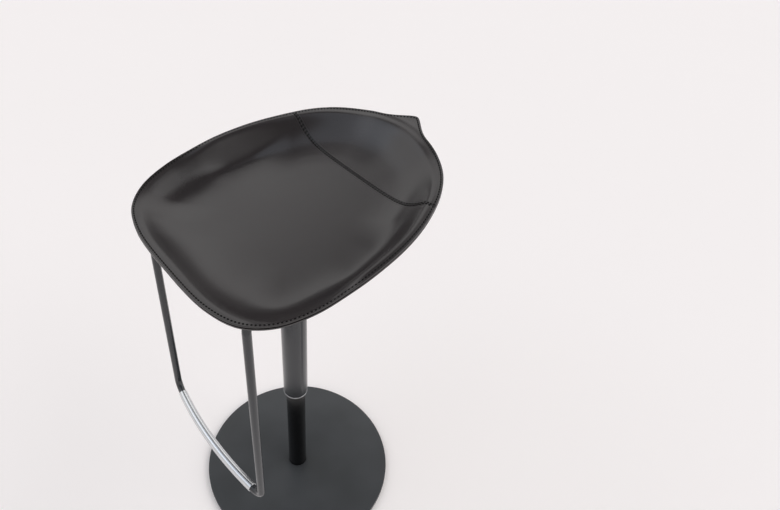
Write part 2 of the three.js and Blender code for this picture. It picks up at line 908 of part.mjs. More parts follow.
// The rim's edge without the beak, as a closed curve
const rimCurve = (() => {
  const length = seatBack + seatFront;
  const place = ([side, way, rise]) =>
    new THREE.Vector3(side * seatHalfWidth, way * length - seatFront, seatFrontRim + rise * seatRimRise);
  const right = rimShares.map(place);
  const left = right.slice(1, -1).reverse().map((p) => new THREE.Vector3(-p.x, p.y, p.z));
  return new THREE.CatmullRomCurve3([...right, ...left], true, "centripetal");
})();

const pole = new THREE.Vector2(0, seatPole);

// How far the beak reaches past the rim at a place beside the middle, as a share of its full reach
function beakAt(side) {
  const away = Math.hypot(side, beakTipRadius) - beakTipRadius;
  return Math.max(1 - away / beakHalfWidth, 0) ** 2;
}

function floorAt(back) {
  const share = back / floorReach;
  return floorLevel + floorRise * share + floorBow * share ** 2;
}

// How high the wall stands at a distance inside the rim, as a share of its full height
function wallShare(distance) {
  const share = THREE.MathUtils.clamp((distance - wallStart) / wallWidth, 0, 1);
  return crestShare * (0.5 + 0.5 * Math.cos(Math.PI * share));
}

// Rings of points of the pan's upper face, from the rim to the pole
const panRings = (() => {
  // The spokes crowd towards the beak and, less, towards the front.
  const spokes = Array.from({ length: seatDivisions }, (_, i) => {
    const turn = (2 * Math.PI * i) / seatDivisions;
    const crowded = turn - tipCrowdingShare * Math.sin(turn) - (endCrowdingShare * Math.sin(2 * turn)) / 2;
    return rimCurve.getPointAt(crowded / (2 * Math.PI));
  });
  const pointAt = (rim, inset) => {
    const edge = new THREE.Vector2(rim.x, rim.y);
    const inward = pole.clone().sub(edge).normalize();
    const place = edge.addScaledVector(inward, inset);
    const level = floorAt(place.y);
    return new THREE.Vector3(place.x, place.y, level + (rim.z - level) * wallShare(inset));
  };
  const edgeRing = spokes.map((rim) => {
    const beak = rim.y > 0 ? beakAt(rim.x) : 0;
    const point = pointAt(rim, -beak * beakReach);
    point.z = rim.z + beak * beakLift;
    return { point, inset: 0 };
  });
  const walls = wallRingShares.map((share) => {
    const inset = wallStart + share * wallWidth;
    return spokes.map((rim) => ({ point: pointAt(rim, inset), inset }));
  });
  const inner = spokes.map((rim) => {
    const inset = innerRingShare * pole.distanceTo(new THREE.Vector2(rim.x, rim.y));
    return { point: pointAt(rim, inset), inset };
  });
  return [edgeRing, ...walls, inner];
})();

// A sheet that follows the pan: its two faces lie below the pan's face by depths that depend on the inset
function panSheet(rings, topDepth, bottomDepth) {
  const positions = [];
  const centreInset = seatHalfWidth;
  const middle = floorAt(seatPole);
  const drop = ({ point, inset }, depth) => new THREE.Vector3(point.x, point.y, point.z - depth(inset));
  const face = (a, b, c) => positions.push(...a.toArray(), ...b.toArray(), ...c.toArray());
  const layers = [topDepth, bottomDepth].map((depth) => ({
    rings: rings.map((circle) => circle.map((place) => drop(place, depth))),
    centre: new THREE.Vector3(pole.x, pole.y, middle - depth(centreInset)),
  }));
  const [top, bottom] = layers;
  const count = seatDivisions;
  for (let i = 0; i < count; i++) {
    const j = (i + 1) % count;
    for (let k = 0; k + 1 < rings.length; k++) {
      const [outer, inner] = [top.rings[k], top.rings[k + 1]];
      face(outer[i], inner[j], outer[j]);
      face(outer[i], inner[i], inner[j]);
      const [under, underIn] = [bottom.rings[k], bottom.rings[k + 1]];
      face(under[i], under[j], underIn[j]);
      face(under[i], underIn[j], underIn[i]);
    }
    const [last, lastUnder] = [top.rings.at(-1), bottom.rings.at(-1)];
    face(last[i], top.centre, last[j]);
    face(lastUnder[i], lastUnder[j], bottom.centre);
    face(top.rings[0][i], top.rings[0][j], bottom.rings[0][j]);
    face(top.rings[0][i], bottom.rings[0][j], bottom.rings[0][i]);
  }
  const geometry = new THREE.BufferGeometry();
  geometry.setAttribute("position", new THREE.BufferAttribute(new Float32Array(positions), 3));
  return solidOf(geometry);
}

function buildSeat() {
  const hideBottom = () => hideThickness;
  const coreTop = () => hideThickness + fitGap;
  const coreSwell = (inset) => THREE.MathUtils.smoothstep(inset, coreInset, coreInset + coreTaper);
  const coreBottom = (inset) =>
    coreTop() + coreEdgeThickness + (coreThickness - coreEdgeThickness) * coreSwell(inset);
  const underTop = (inset) => coreBottom(inset) + fitGap;
  const underBottom = (inset) => underTop(inset) + lowerHideThickness;

  const hide = panSheet(panRings, () => 0, hideBottom);
  const under = panSheet(panRings, underTop, underBottom);
  const core = panSheet(panRings.filter((circle) => circle[0].inset > coreInset), coreTop, coreBottom);

  // The upper hide is two panels that meet along the cross seam.
  const reach = seatHalfWidth + cutOverrun;
  const low = floorAt(-seatFront) - hideThickness - cutOverrun;
  const high = seatFrontRim + seatRimRise + beakLift + cutOverrun;
  const seamSteps = 12;
  const seamLine = (offset) =>
    Array.from({ length: seamSteps + 1 }, (_, i) => {
      const side = reach * (1 - (2 * i) / seamSteps);
      const flare = Math.abs(side / reach) ** seamFlarePowerShare;
      return [side, seamBack + seamFlare * flare + offset];
    });
  const frontEnd = -seatFront - cutOverrun;
  const backEnd = seatBack + beakReach + cutOverrun;
  const frontRegion = prism([...seamLine(-fitGap / 2), [-reach, frontEnd], [reach, frontEnd]], low, high);
  const backRegion = prism([...seamLine(fitGap / 2), [-reach, backEnd], [reach, backEnd]], low, high);
  addPart("seat_panel_front", hide.intersect(frontRegion), materials.hide);
  addPart("seat_panel_back", hide.intersect(backRegion), materials.hide);

  // Four bosses of the core reach down through the lower hide to the plate.
  let shell = core;
  let lower = under;
  for (const [front, back] of [["front", -seatScrewBack], ["rear", seatScrewBack]]) {
    for (const [hand, side] of [["right", seatScrewSide], ["left", -seatScrewSide]]) {
      const head = floorAt(back) - coreBottom(seatHalfWidth) + coreThickness / 2;
      const boss = disc(bossRadius, flangeTop + fitGap, head);
      const pilot = disc(screwRadius + fitGap, flangeTop - cutOverrun, flangeTop + seatScrewBite + fitGap);
      shell = shell.add(moved(boss, side, back, 0)).subtract(moved(pilot, side, back, 0));
      const opening = disc(bossRadius + bossHoleGap, flangeTop - cutOverrun, head);
      lower = lower.subtract(moved(opening, side, back, 0));
      const screw = screwUp(flangeTop - plateThickness - fitGap, flangeTop + seatScrewBite);
      addPart(`seat_screw_${front}_${hand}`, moved(screw, side, back, 0), materials.zinc);
    }
  }
  addPart("seat_core", shell, materials.nylon);
  addPart("seat_underside", lower, materials.hide);
}

buildBase();
buildStandTube();
buildBearing();
buildGasRod();
buildGasCylinder();
buildOuterTube();
buildMountingPlate();
buildLever();
buildFootrest();
buildSeat();

export default stool;
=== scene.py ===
"""Saddle stool: the looks of a height-adjustable swivel stool with a sewn hide saddle.

Every piece stands in the model's own frame: the origin is under the base on the column's axis, +Z is
up and the seat's raised beak points to +Y. Sizes in the classes are in millimetres and become metres
when a mesh is made. Each sub-assembly is a class that holds its sizes, builds its meshes and dresses
them; each finish is a frozen dataclass that makes one procedural material.
"""
import json
import logging
import math
from dataclasses import dataclass, field
from enum import Enum
from typing import Callable, Sequence

import bpy
import numpy as np
from mathutils import Matrix, Vector


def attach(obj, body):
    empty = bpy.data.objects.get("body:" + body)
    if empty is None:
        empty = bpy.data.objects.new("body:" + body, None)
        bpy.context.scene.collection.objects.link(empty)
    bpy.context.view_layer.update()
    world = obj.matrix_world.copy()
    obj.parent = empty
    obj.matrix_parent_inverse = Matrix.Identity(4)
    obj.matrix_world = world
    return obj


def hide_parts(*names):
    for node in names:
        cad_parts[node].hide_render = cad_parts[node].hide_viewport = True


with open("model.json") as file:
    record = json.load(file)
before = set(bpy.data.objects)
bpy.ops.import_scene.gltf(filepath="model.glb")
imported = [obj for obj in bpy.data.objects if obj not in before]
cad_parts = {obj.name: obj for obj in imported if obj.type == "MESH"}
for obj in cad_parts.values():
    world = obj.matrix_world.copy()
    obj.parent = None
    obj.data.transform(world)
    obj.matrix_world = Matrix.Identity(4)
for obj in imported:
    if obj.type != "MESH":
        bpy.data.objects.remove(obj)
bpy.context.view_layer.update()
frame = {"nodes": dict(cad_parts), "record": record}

LOG = logging.getLogger("stool")
MM = 0.001
FIT_GAP = 0.3
EDGE_SOFTNESS = 0.35
SHARP_TURN = 35.0
CORNER_SHARE = 0.48
LIGHT_PATHS = ("Is Camera Ray", "Is Glossy Ray", "Is Transmission Ray")

Point = np.ndarray
Face = Callable[[np.ndarray], np.ndarray]
Term = "Signal | float | Sequence[float]"


class Body(Enum):
    """The moving bodies that pieces ride on."""

    BASE = "base"
    PISTON = "piston"
    SEAT = "seat"
    LEVER = "lever"
    PIN = "pin"


def linear(code: str) -> tuple[float, float, float, float]:
    """Turns a colour code such as 2b2829 into linear light with an alpha of 1."""
    parts = [int(code[i : i + 2], 16) / 255 for i in (0, 2, 4)]
    bright = [p / 12.92 if p <= 0.04045 else ((p + 0.055) / 1.055) ** 2.4 for p in parts]
    return bright[0], bright[1], bright[2], 1.0


class Signal:
    """A shader socket that takes part in Python expressions; each operator adds one Math node."""

    def __init__(self, graph: "Graph", socket: bpy.types.NodeSocket) -> None:
        """Wraps a node's output socket."""
        self.graph = graph
        self.socket = socket

    def maths(self, operation: str, *terms: Term) -> "Signal":
        """Adds the Math node that works out one operation on signals or numbers."""
        return self.graph.node("ShaderNodeMath", {"operation": operation}, dict(enumerate(terms)))

    def __add__(self, other: Term) -> "Signal":
        """Adds another term."""
        return self.maths("ADD", self, other)

    def __radd__(self, other: Term) -> "Signal":
        """Adds to a number on the left."""
        return self.maths("ADD", other, self)

    def __sub__(self, other: Term) -> "Signal":
        """Takes another term away."""
        return self.maths("SUBTRACT", self, other)

    def __rsub__(self, other: Term) -> "Signal":
        """Is taken away from a number on the left."""
        return self.maths("SUBTRACT", other, self)

    def __mul__(self, other: Term) -> "Signal":
        """Multiplies by another term."""
        return self.maths("MULTIPLY", self, other)

    def __rmul__(self, other: Term) -> "Signal":
        """Multiplies a number on the left."""
        return self.maths("MULTIPLY", other, self)

    def sine(self) -> "Signal":
        """Gives the sine of the signal in radians."""
        return self.maths("SINE", self)

    def clamped(self) -> "Signal":
        """Limits a value to the range from 0 to 1."""
        return self.graph.node("ShaderNodeClamp", {}, {0: self})

    def ramp(self, low: float, high: float) -> "Signal":
        """Goes smoothly from 0 at a low value to 1 at a high one."""
        settings = {"interpolation_type": "SMOOTHSTEP"}
        return self.graph.node("ShaderNodeMapRange", settings, {"Value": self, 1: low, 2: high})

    def towards(self, aim: Sequence[float]) -> "Signal":
        """Gives the cosine between a direction and an aim."""
        return self.graph.node("ShaderNodeVectorMath", {"operation": "DOT_PRODUCT"}, {0: self, 1: aim}, 1)


class Graph:
    """The nodes of one material, with its Principled shader at the end."""

    def __init__(self, name: str) -> None:
        """Starts a material of the given name."""
        self.material = bpy.data.materials.new(name)
        self.material.use_nodes = True
        self.tree = self.material.node_tree
        self.shader = self.tree.nodes["Principled BSDF"]

    def node(
        self, kind: str, settings: dict[str, object], inputs: dict[int | str, Term], output: int | str = 0
    ) -> Signal:
        """Adds one node.

        Args:
            kind: The node's type.
            settings: Its properties, set first.
            inputs: Values and links of its sockets, by number or name.
            output: The socket that is passed on.

        Returns:
            The chosen output as a signal.
        """
        made = self.tree.nodes.new(kind)
        for name, value in settings.items():
            setattr(made, name, value)
        for key, value in inputs.items():
            if isinstance(value, Signal):
                self.tree.links.new(value.socket, made.inputs[key])
            else:
                made.inputs[key].default_value = value
        return Signal(self, made.outputs[output])

    def place(self) -> Signal:
        """Gives the place on the piece in metres."""
        return self.node("ShaderNodeTexCoord", {}, {}, "Object")

    def axis(self, name: str) -> Signal:
        """Gives one coordinate of the place in metres."""
        return self.node("ShaderNodeSeparateXYZ", {}, {0: self.place()}, name)

    def marked(self, name: str) -> Signal:
        """Gives a value that the mesh carries at its points."""
        return self.node("ShaderNodeAttribute", {"attribute_name": name}, {}, "Fac")

    def noise(self, size: float, detail: float = 2.0) -> Signal:
        """Gives soft noise around 0.5 with spots of a size in millimetres and finer layers in them."""
        inputs = {"Vector": self.place(), "Scale": 1 / (size * MM), "Detail": detail}
        return self.node("ShaderNodeTexNoise", {}, inputs)

    def streaks(self, count: float, detail: float) -> Signal:
        """Gives noise that changes around a bar's section alone, which its mesh carries, and not along it."""
        section = self.node("ShaderNodeCombineXYZ", {}, {0: self.marked("aside"), 1: self.marked("above")})
        return self.node("ShaderNodeTexNoise", {}, {"Vector": section, "Scale": count, "Detail": detail})

    def cells(self, size: float) -> Signal:
        """Gives the distance to the edge in a pattern of cells of a size in millimetres."""
        inputs = {"Vector": self.place(), "Scale": 1 / (size * MM)}
        return self.node("ShaderNodeTexVoronoi", {"feature": "DISTANCE_TO_EDGE"}, inputs, "Distance")

    def colour(self, share: Term, low: str, high: str) -> Signal:
        """Lays one colour code over another by a share."""
        return self.laid(share, linear(low), linear(high))

    def laid(self, share: Term, low: Term, high: Term) -> Signal:
        """Lays a colour signal over another by a share."""
        return self.node("ShaderNodeMix", {"data_type": "RGBA"}, {0: share, 6: low, 7: high}, 2)

    def shown(self) -> Signal:
        """Gives 1 where the camera sees a surface, itself or in a mirror, and 0 for other light."""
        first, second, third = (self.node("ShaderNodeLightPath", {}, {}, name) for name in LIGHT_PATHS)
        return (first + second + third).clamped()

    def relief(self, height: Signal, depth: float, strength: float = 1.0) -> Signal:
        """Turns heights of so many millimetres into a bumped normal."""
        return self.node("ShaderNodeBump", {}, {"Height": height, "Distance": depth * MM, "Strength": strength})

    def feed(self, **values: Term) -> None:
        """Sets the shader's sockets, given by name with _ for a space."""
        for name, value in values.items():
            socket = self.shader.inputs[name.replace("_", " ")]
            if isinstance(value, Signal):
                self.tree.links.new(value.socket, socket)
            else:
                socket.default_value = value


@dataclass(frozen=True)
class Finish:
    """A finish of the record's materials, as one procedural material."""

    name: str
    slot: str
    colour: str
    roughness: float

    def dress(self, graph: Graph) -> None:
        """Adds the nodes of the finish."""
        raise NotImplementedError

    def material(self) -> bpy.types.Material:
        """Makes the material, or gives the one that was made before."""
        known = bpy.data.materials.get(self.name)
        if known is None:
            graph = Graph(self.name)
            self.dress(graph)
            known = graph.material
        return known


@dataclass(frozen=True)
class Hide(Finish):
    """Thick smooth hide: fine grain, cloudy dye, dark painted cut edges, and painted shade along the stitch rows
    and the cross seam.
    """

    light: str = "2a2526"
    # Colour of the painted cut edges, and also the colour that the painted stitch shade darkens towards.
    edge: str = "1b1918"
    grain: float = 0.9

    def dress(self, graph: Graph) -> None:
        """Adds the nodes of the hide."""
        cloud = graph.noise(90, 3).ramp(0.3, 0.72)
        fine = graph.noise(6, 4)
        tone = (cloud * 0.7 + fine * 0.3).clamped()
        dyed = graph.colour(tone, self.colour, self.light)
        edge = graph.marked("edge")
        # Painted shade: along the stitch rows and the cross seam the hide is darkened towards the edge colour,
        # where shade falls in their grooves; the same mark makes it a little rougher.
        pressed = graph.marked("pressed")
        shade = graph.laid(pressed * 0.55, dyed, linear(self.edge))
        graph.feed(Base_Color=graph.laid(edge, shade, linear(self.edge)))

        pores = graph.cells(self.grain).ramp(0.0, 0.3)
        creases = graph.noise(2.4, 3).ramp(0.35, 0.7)
        height = pores * 0.6 + creases * 0.4
        graph.feed(
            Normal=graph.relief(height, 0.035, 0.5),
            Roughness=(tone * 0.06 + (self.roughness - 0.03) + pressed * 0.1 - edge * 0.08).clamped(),
            Specular_IOR_Level=0.62,
        )


@dataclass(frozen=True)
class Thread(Finish):
    """Waxed sewing thread with its twist."""

    turns: float = 9000.0
    shade: str = "050505"

    def dress(self, graph: Graph) -> None:
        """Adds the nodes of the thread."""
        twist = ((graph.axis("X") + graph.axis("Y") * 0.8 + graph.axis("Z")) * self.turns).sine()
        graph.feed(
            Base_Color=graph.colour((twist * 0.5 + 0.5) * 0.5, self.colour, self.shade),
            Roughness=(twist * 0.05 + self.roughness).clamped(),
            Normal=graph.relief(twist, 0.05),
            Specular_IOR_Level=0.15,
        )


@dataclass(frozen=True)
class PowderCoat(Finish):
    """Matt textured powder coat."""

    speck: str = "3a3c3e"

    def dress(self, graph: Graph) -> None:
        """Adds the nodes of the coat."""
        cloud = graph.noise(140, 2).ramp(0.3, 0.7)
        grit = graph.noise(0.7, 2)
        colour = graph.colour(cloud * 0.5 + grit * 0.3, self.colour, self.speck)
        graph.feed(
            Base_Color=colour,
            Roughness=(grit * 0.1 + (self.roughness - 0.05)).clamped(),
            Normal=graph.relief(grit, 0.03, 0.6),
            Specular_IOR_Level=0.5,
        )


@dataclass(frozen=True)
class Lacquer(Finish):
    """Smooth lacquer over metal, with a faint flow in its surface."""

    metallic: float = 0.0
    flake: str = "000000"
    sheen: float = 0.5

    def dress(self, graph: Graph) -> None:
        """Adds the nodes of the lacquer."""
        flow = graph.noise(22, 2)
        flakes = graph.noise(0.35, 1)
        graph.feed(
            Base_Color=graph.colour(flakes * 0.35, self.colour, self.flake),
            Roughness=(flow * 0.05 + (self.roughness - 0.025)).clamped(),
            Normal=graph.relief(flow, 0.012, 0.5),
            Metallic=self.metallic,
            Specular_IOR_Level=self.sheen,
        )


@dataclass(frozen=True)
class DrawnMetal(Finish):
    """Bare metal with fine drawn lines along the piece and broad painted reflection bands along it."""

    line: str = "8f9194"
    depth: float = 0.01

    def dress(self, graph: Graph) -> None:
        """Adds the nodes of the metal."""
        grit = graph.noise(0.8) - 0.5
        lines = graph.streaks(22, 2)
        # Painted reflection: broad lighter and darker bands along the bar, laid into the metal's colour.
        reflection_bands = graph.streaks(3.6, 1).ramp(0.35, 0.65)
        graph.feed(
            Base_Color=graph.colour((lines * 0.5 + reflection_bands * 0.6 + grit * 0.4).clamped(), self.colour, self.line),
            Roughness=(lines * 0.12 + grit * 0.1 + (self.roughness - 0.06)).clamped(),
            Normal=graph.relief(lines, self.depth, 0.5),
            Metallic=1.0,
        )


@dataclass(frozen=True)
class Moulded(Finish):
    """Moulded nylon or rubber with a fine spark-eroded texture."""

    bloom: str = "2c2d2f"

    def dress(self, graph: Graph) -> None:
        """Adds the nodes of the moulding."""
        texture = graph.noise(0.6, 3)
        cloud = graph.noise(20, 2)
        graph.feed(
            Base_Color=graph.colour(cloud * 0.4, self.colour, self.bloom),
            Roughness=(texture * 0.14 + (self.roughness - 0.07)).clamped(),
            Normal=graph.relief(texture, 0.02, 0.5),
        )


HIDE = Hide("smooth_hide", "hide", "252122", 0.25)
THREAD = Thread("waxed_thread", "hide", "070707", 0.8)
GRAPHITE = PowderCoat("graphite_coat", "graphite", "36383a", 0.34, "47494c")
BLACK_GLOSS = Lacquer("black_lacquer", "black_gloss", "040405", 0.18, sheen=0.38)
GREY_SATIN = Lacquer("grey_satin_lacquer", "grey_satin", "25272a", 0.2, flake="323438", sheen=0.6)
CHROME = DrawnMetal("polished_chrome", "chrome", "c9cbce", 0.08)
BRUSHED = DrawnMetal("brushed_steel", "brushed", "e9eaec", 0.24, line="b9bbbe")
STEEL = Lacquer("black_oxide_steel", "steel", "242527", 0.42, metallic=0.6, flake="333437")
ZINC = DrawnMetal("zinc_plate", "zinc", "a3a6aa", 0.4)
NYLON = Moulded("black_nylon", "nylon", "1b1c1e", 0.55)
SHELL = Moulded("black_shell", "shell", "161617", 0.5)
RUBBER = Moulded("pad_rubber", "pad", "151617", 0.85)

SLOT_FINISHES: dict[str, Finish] = {
    f.slot: f
    for f in (HIDE, GRAPHITE, BLACK_GLOSS, GREY_SATIN, CHROME, BRUSHED, STEEL, ZINC, NYLON, SHELL, RUBBER)
}


class Draft:
    """The points and faces of one mesh, gathered loop by loop in millimetres."""

    def __init__(self) -> None:
        """Starts an empty draft."""
        self.points: list[np.ndarray] = []
        self.faces: list[list[int]] = []
        self.marks: dict[str, list[np.ndarray]] = {}
        self.count = 0

    def loop(self, points: np.ndarray, **marks: np.ndarray | float) -> np.ndarray:
        """Adds points.

        Args:
            points: Rows of x, y and z.
            **marks: Values that the points carry for the shader.

        Returns:
            The points' numbers.
        """
        size = len(points)
        self.points.append(np.asarray(points, float))
        for name in set(self.marks) | set(marks):
            known = self.marks.setdefault(name, [np.zeros(self.count)])
            known.append(np.broadcast_to(np.asarray(marks.get(name, 0.0), float), (size,)))
        self.count += size
        return np.arange(self.count - size, self.count)

    def strip(self, first: np.ndarray, second: np.ndarray, closed: bool = True) -> None:
        """Joins two loops of the same length with quads."""
        after = np.roll(first, -1), np.roll(second, -1)
        rows = np.stack([first, after[0], after[1], second], axis=1)
        self.faces.extend((rows if closed else rows[:-1]).tolist())

    def fan(self, edge: np.ndarray, centre: int) -> None:
        """Closes a loop with triangles to a centre point."""
        rows = np.stack([edge, np.roll(edge, -1), np.full(len(edge), centre)], axis=1)
        self.faces.extend(rows.tolist())

    def loft(self, loops: Sequence[np.ndarray], capped: bool = True, ring: bool = False) -> None:
        """Joins a row of loops into a body.

        Args:
            loops: The loops' points, all of the same length.
            capped: Closes both ends with a fan.
            ring: Joins the last loop to the first instead.
        """
        numbers = [self.loop(points) for points in loops]
        for first, second in zip(numbers, numbers[1:]):
            self.strip(first, second)
        if ring:
            self.strip(numbers[-1], numbers[0])
        elif capped:
            ends = [self.loop(np.mean(points, axis=0)[None]) for points in (loops[0], loops[-1])]
            self.fan(numbers[0][::-1], int(ends[0][0]))
            self.fan(numbers[-1], int(ends[1][0]))

    def build(self, name: str, sharp: float = SHARP_TURN) -> bpy.types.Object:
        """Makes the mesh object in metres; edges stay sharp from an angle in degrees."""
        mesh = bpy.data.meshes.new(name)
        mesh.from_pydata((np.concatenate(self.points) * MM).tolist(), [], self.faces)
        for mark, rows in self.marks.items():
            values = np.concatenate(rows).astype(np.float32)
            mesh.attributes.new(mark, "FLOAT", "POINT").data.foreach_set("value", values)
        mesh.update()
        mesh.shade_smooth()
        mesh.set_sharp_from_angle(angle=math.radians(sharp))
        made = bpy.data.objects.new(name, mesh)
        bpy.context.scene.collection.objects.link(made)
        return made


def place_piece(piece: bpy.types.Object, body: Body, finish: Finish, replaced: Sequence[str] = ()) -> None:
    """Dresses a piece and lets it ride on its body.

    Args:
        piece: The finished object.
        body: The body it moves with.
        finish: What it is finished in.
        replaced: The model's nodes that it stands for.
    """
    piece.data.materials.clear()
    piece.data.materials.append(finish.material())
    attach(piece, body.value)
    if replaced:
        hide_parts(*replaced)
    LOG.info("%s rides on %s in %s", piece.name, body.value, finish.name)


def rounded(profile: Sequence[tuple[float, float, float]], steps: int = 5) -> list[tuple[float, float]]:
    """Rounds the corners of a section.

    Args:
        profile: Radius, height and corner radius of each corner; 0 leaves a corner sharp.
        steps: Parts of each rounded corner.

    Returns:
        Radii and heights of the finer section.
    """
    corners = [np.array(row[:2], float) for row in profile]
    out: list[tuple[float, float]] = []
    for i, corner in enumerate(corners):
        before, after = corners[i - 1] - corner, corners[(i + 1) % len(corners)] - corner
        run = min(profile[i][2], *(CORNER_SHARE * np.linalg.norm(side) for side in (before, after)))
        start, end = corner + unit(before) * run, corner + unit(after) * run
        for share in np.linspace(0, 1, steps + 1) if run > 0 else [0.0]:
            bent = (1 - share) ** 2 * start + 2 * share * (1 - share) * corner + share**2 * end
            out.append((float(bent[0]), float(bent[1])))
    return out


def circle(radius: float, sides: int) -> np.ndarray:
    """Gives the points of a circle as rows of two coordinates."""
    turn = np.linspace(0, 2 * math.pi, sides, endpoint=False)
    return radius * np.stack([np.cos(turn), np.sin(turn)], axis=1)


def hoop(radius: float, sides: int, height: float) -> np.ndarray:
    """Gives the points of a level circle about the Z axis."""
    return np.column_stack([circle(radius, sides), np.full(sides, height)])


def turned(
    name: str, profile: Sequence[tuple[float, float, float]], sides: int, sharp: float = SHARP_TURN
) -> bpy.types.Object:
    """Makes an object turned about the Z axis.

    Args:
        name: The object's name.
        profile: Radius, height and corner radius of the section's corners, anticlockwise; a body
            without a bore starts and ends on the axis.
        sides: Points around.
        sharp: Edges stay sharp from this angle in degrees.

    Returns:
        The object.
    """
    bored = profile[0][0] > 0
    draft = Draft()
    loops = [hoop(radius, sides, height) for radius, height in rounded(profile) if radius > 0]
    draft.loft(loops, capped=not bored, ring=bored)
    return draft.build(name, sharp)


@dataclass(frozen=True)
class Station:
    """A stop on a bar's centre line."""

    point: Point
    along: Point

    def mirrored(self) -> "Station":
        """Gives the stop on the other side of the middle plane, run through the other way."""
        flip = np.array([-1.0, 1.0, 1.0])
        return Station(self.point * flip, -self.along * flip)


def unit(vector: Point) -> Point:
    """Gives a vector the length 1."""
    return vector / np.linalg.norm(vector)


def bent_stations(corners: Sequence[Point], radii: Sequence[float], per_quarter: int = 18) -> list[Station]:
    """Runs a centre line along straight runs with bent corners.

    Args:
        corners: The corners, with both ends.
        radii: The bend radius of each inner corner.
        per_quarter: Stops in a quarter turn.

    Returns:
        The stops, without the last corner.
    """
    stations = [Station(corners[0], unit(corners[1] - corners[0]))]
    for index, radius in enumerate(radii):
        corner = corners[index + 1]
        before, after = unit(corner - corners[index]), unit(corners[index + 2] - corner)
        turn = math.acos(float(np.clip(before @ after, -1, 1)))
        start = corner - before * radius * math.tan(turn / 2)
        inward = unit(after - before * float(after @ before))
        centre = start + inward * radius
        steps = max(3, math.ceil(per_quarter * turn / (math.pi / 2)))
        for step in range(steps + 1):
            angle = turn * step / steps
            point = centre - inward * radius * math.cos(angle) + before * radius * math.sin(angle)
            stations.append(Station(point, before * math.cos(angle) + inward * math.sin(angle)))
    return stations


def swept(stations: Sequence[Station], section: np.ndarray) -> list[np.ndarray]:
    """Carries a section along a centre line without twist.

    Args:
        stations: The stops of the centre line.
        section: Rows of two coordinates across the line.

    Returns:
        One loop of points for each stop.
    """
    side = unit(np.cross(stations[0].along, [0.0, 0.0, 1.0]) + 1e-9)
    loops = []
    for station in stations:
        side = unit(side - station.along * float(side @ station.along))
        up = np.cross(station.along, side)
        loops.append(station.point + section[:, :1] * side + section[:, 1:] * up)
    return loops


def round_bar(draft: Draft, stations: Sequence[Station], radius: float, sides: int = 32, edge: float = 0.6) -> None:
    """Adds a round bar with slightly rounded ends.

    Args:
        draft: The mesh that it goes into.
        stations: The stops of its centre line.
        radius: The bar's radius.
        sides: Points around.
        edge: How much its ends are rounded.
    """
    first, last = stations[0], stations[-1]
    lead = [Station(first.point + first.along * edge, first.along)]
    tail = [Station(last.point - last.along * edge, last.along)]
    inner = swept([*lead, *stations[1:-1], *tail], circle(radius, sides))
    ends = swept([first, *stations[1:-1], last], circle(radius - edge, sides))
    draft.loft([ends[0], *inner, ends[-1]])


@dataclass
class BaseSizes:
    """Sizes of the disc base and the stand tube."""

    radius: float = 210.0
    thickness: float = 8.0
    edge: float = 1.2
    pad_radius: float = 202.0
    pad_thickness: float = 2.0
    pad_edge: float = 0.8
    pad_top_edge: float = 0.1
    tube_radius: float = 20.0
    tube_wall: float = 2.0
    tube_top: float = 400.0
    groove: float = 1.6
    bolt_radius: float = 5.0
    washer_radius: float = 10.0
    pocket_depth: float = 5.6

    @property
    def bottom(self) -> float:
        """Height of the plate's underside."""
        return self.pad_thickness + FIT_GAP

    @property
    def top(self) -> float:
        """Height of the plate's upper face."""
        return self.bottom + self.thickness


@dataclass
class Base:
    """Disc base, its anti-slip pad and the black stand tube."""

    size: BaseSizes = field(default_factory=BaseSizes)

    def build_pad(self) -> None:
        """Makes the anti-slip pad."""
        s = self.size
        profile = [
            (0, 0, 0),
            (s.pad_radius, 0, s.pad_edge),
            (s.pad_radius, s.pad_thickness, s.pad_top_edge),
            (0, s.pad_thickness, 0),
        ]
        place_piece(turned("anti_slip_pad", profile, 192), Body.BASE, RUBBER, ["base_pad"])

    def build_plate(self) -> None:
        """Makes the coated steel disc with its tube groove and bolt pocket."""
        s = self.size
        bore = s.bolt_radius + FIT_GAP
        pocket = s.washer_radius + FIT_GAP
        inner = s.tube_radius - s.tube_wall - FIT_GAP
        outer = s.tube_radius + FIT_GAP
        profile = [
            (bore, s.bottom + s.pocket_depth, 0),
            (pocket, s.bottom + s.pocket_depth, 0),
            (pocket, s.bottom, 0.3),
            (s.radius, s.bottom, s.edge),
            (s.radius, s.top, s.edge),
            (outer, s.top, 0.4),
            (outer, s.top - s.groove, 0),
            (inner, s.top - s.groove, 0),
            (inner, s.top, 0),
            (bore, s.top, 0),
        ]
        place_piece(turned("disc_base", profile, 256, 30), Body.BASE, GRAPHITE, ["base_plate"])

    def build_tube(self) -> None:
        """Makes the stand tube."""
        s = self.size
        inner = s.tube_radius - s.tube_wall
        low = s.top - s.groove + FIT_GAP
        profile = [
            (inner, low, 0),
            (s.tube_radius, low, 0.3),
            (s.tube_radius, s.tube_top, 0.5),
            (inner, s.tube_top, 0.3),
        ]
        place_piece(turned("stand_tube", profile, 96), Body.BASE, BLACK_GLOSS, ["lower_column"])

    def build(self) -> None:
        """Makes and dresses the whole base."""
        self.build_pad()
        self.build_plate()
        self.build_tube()


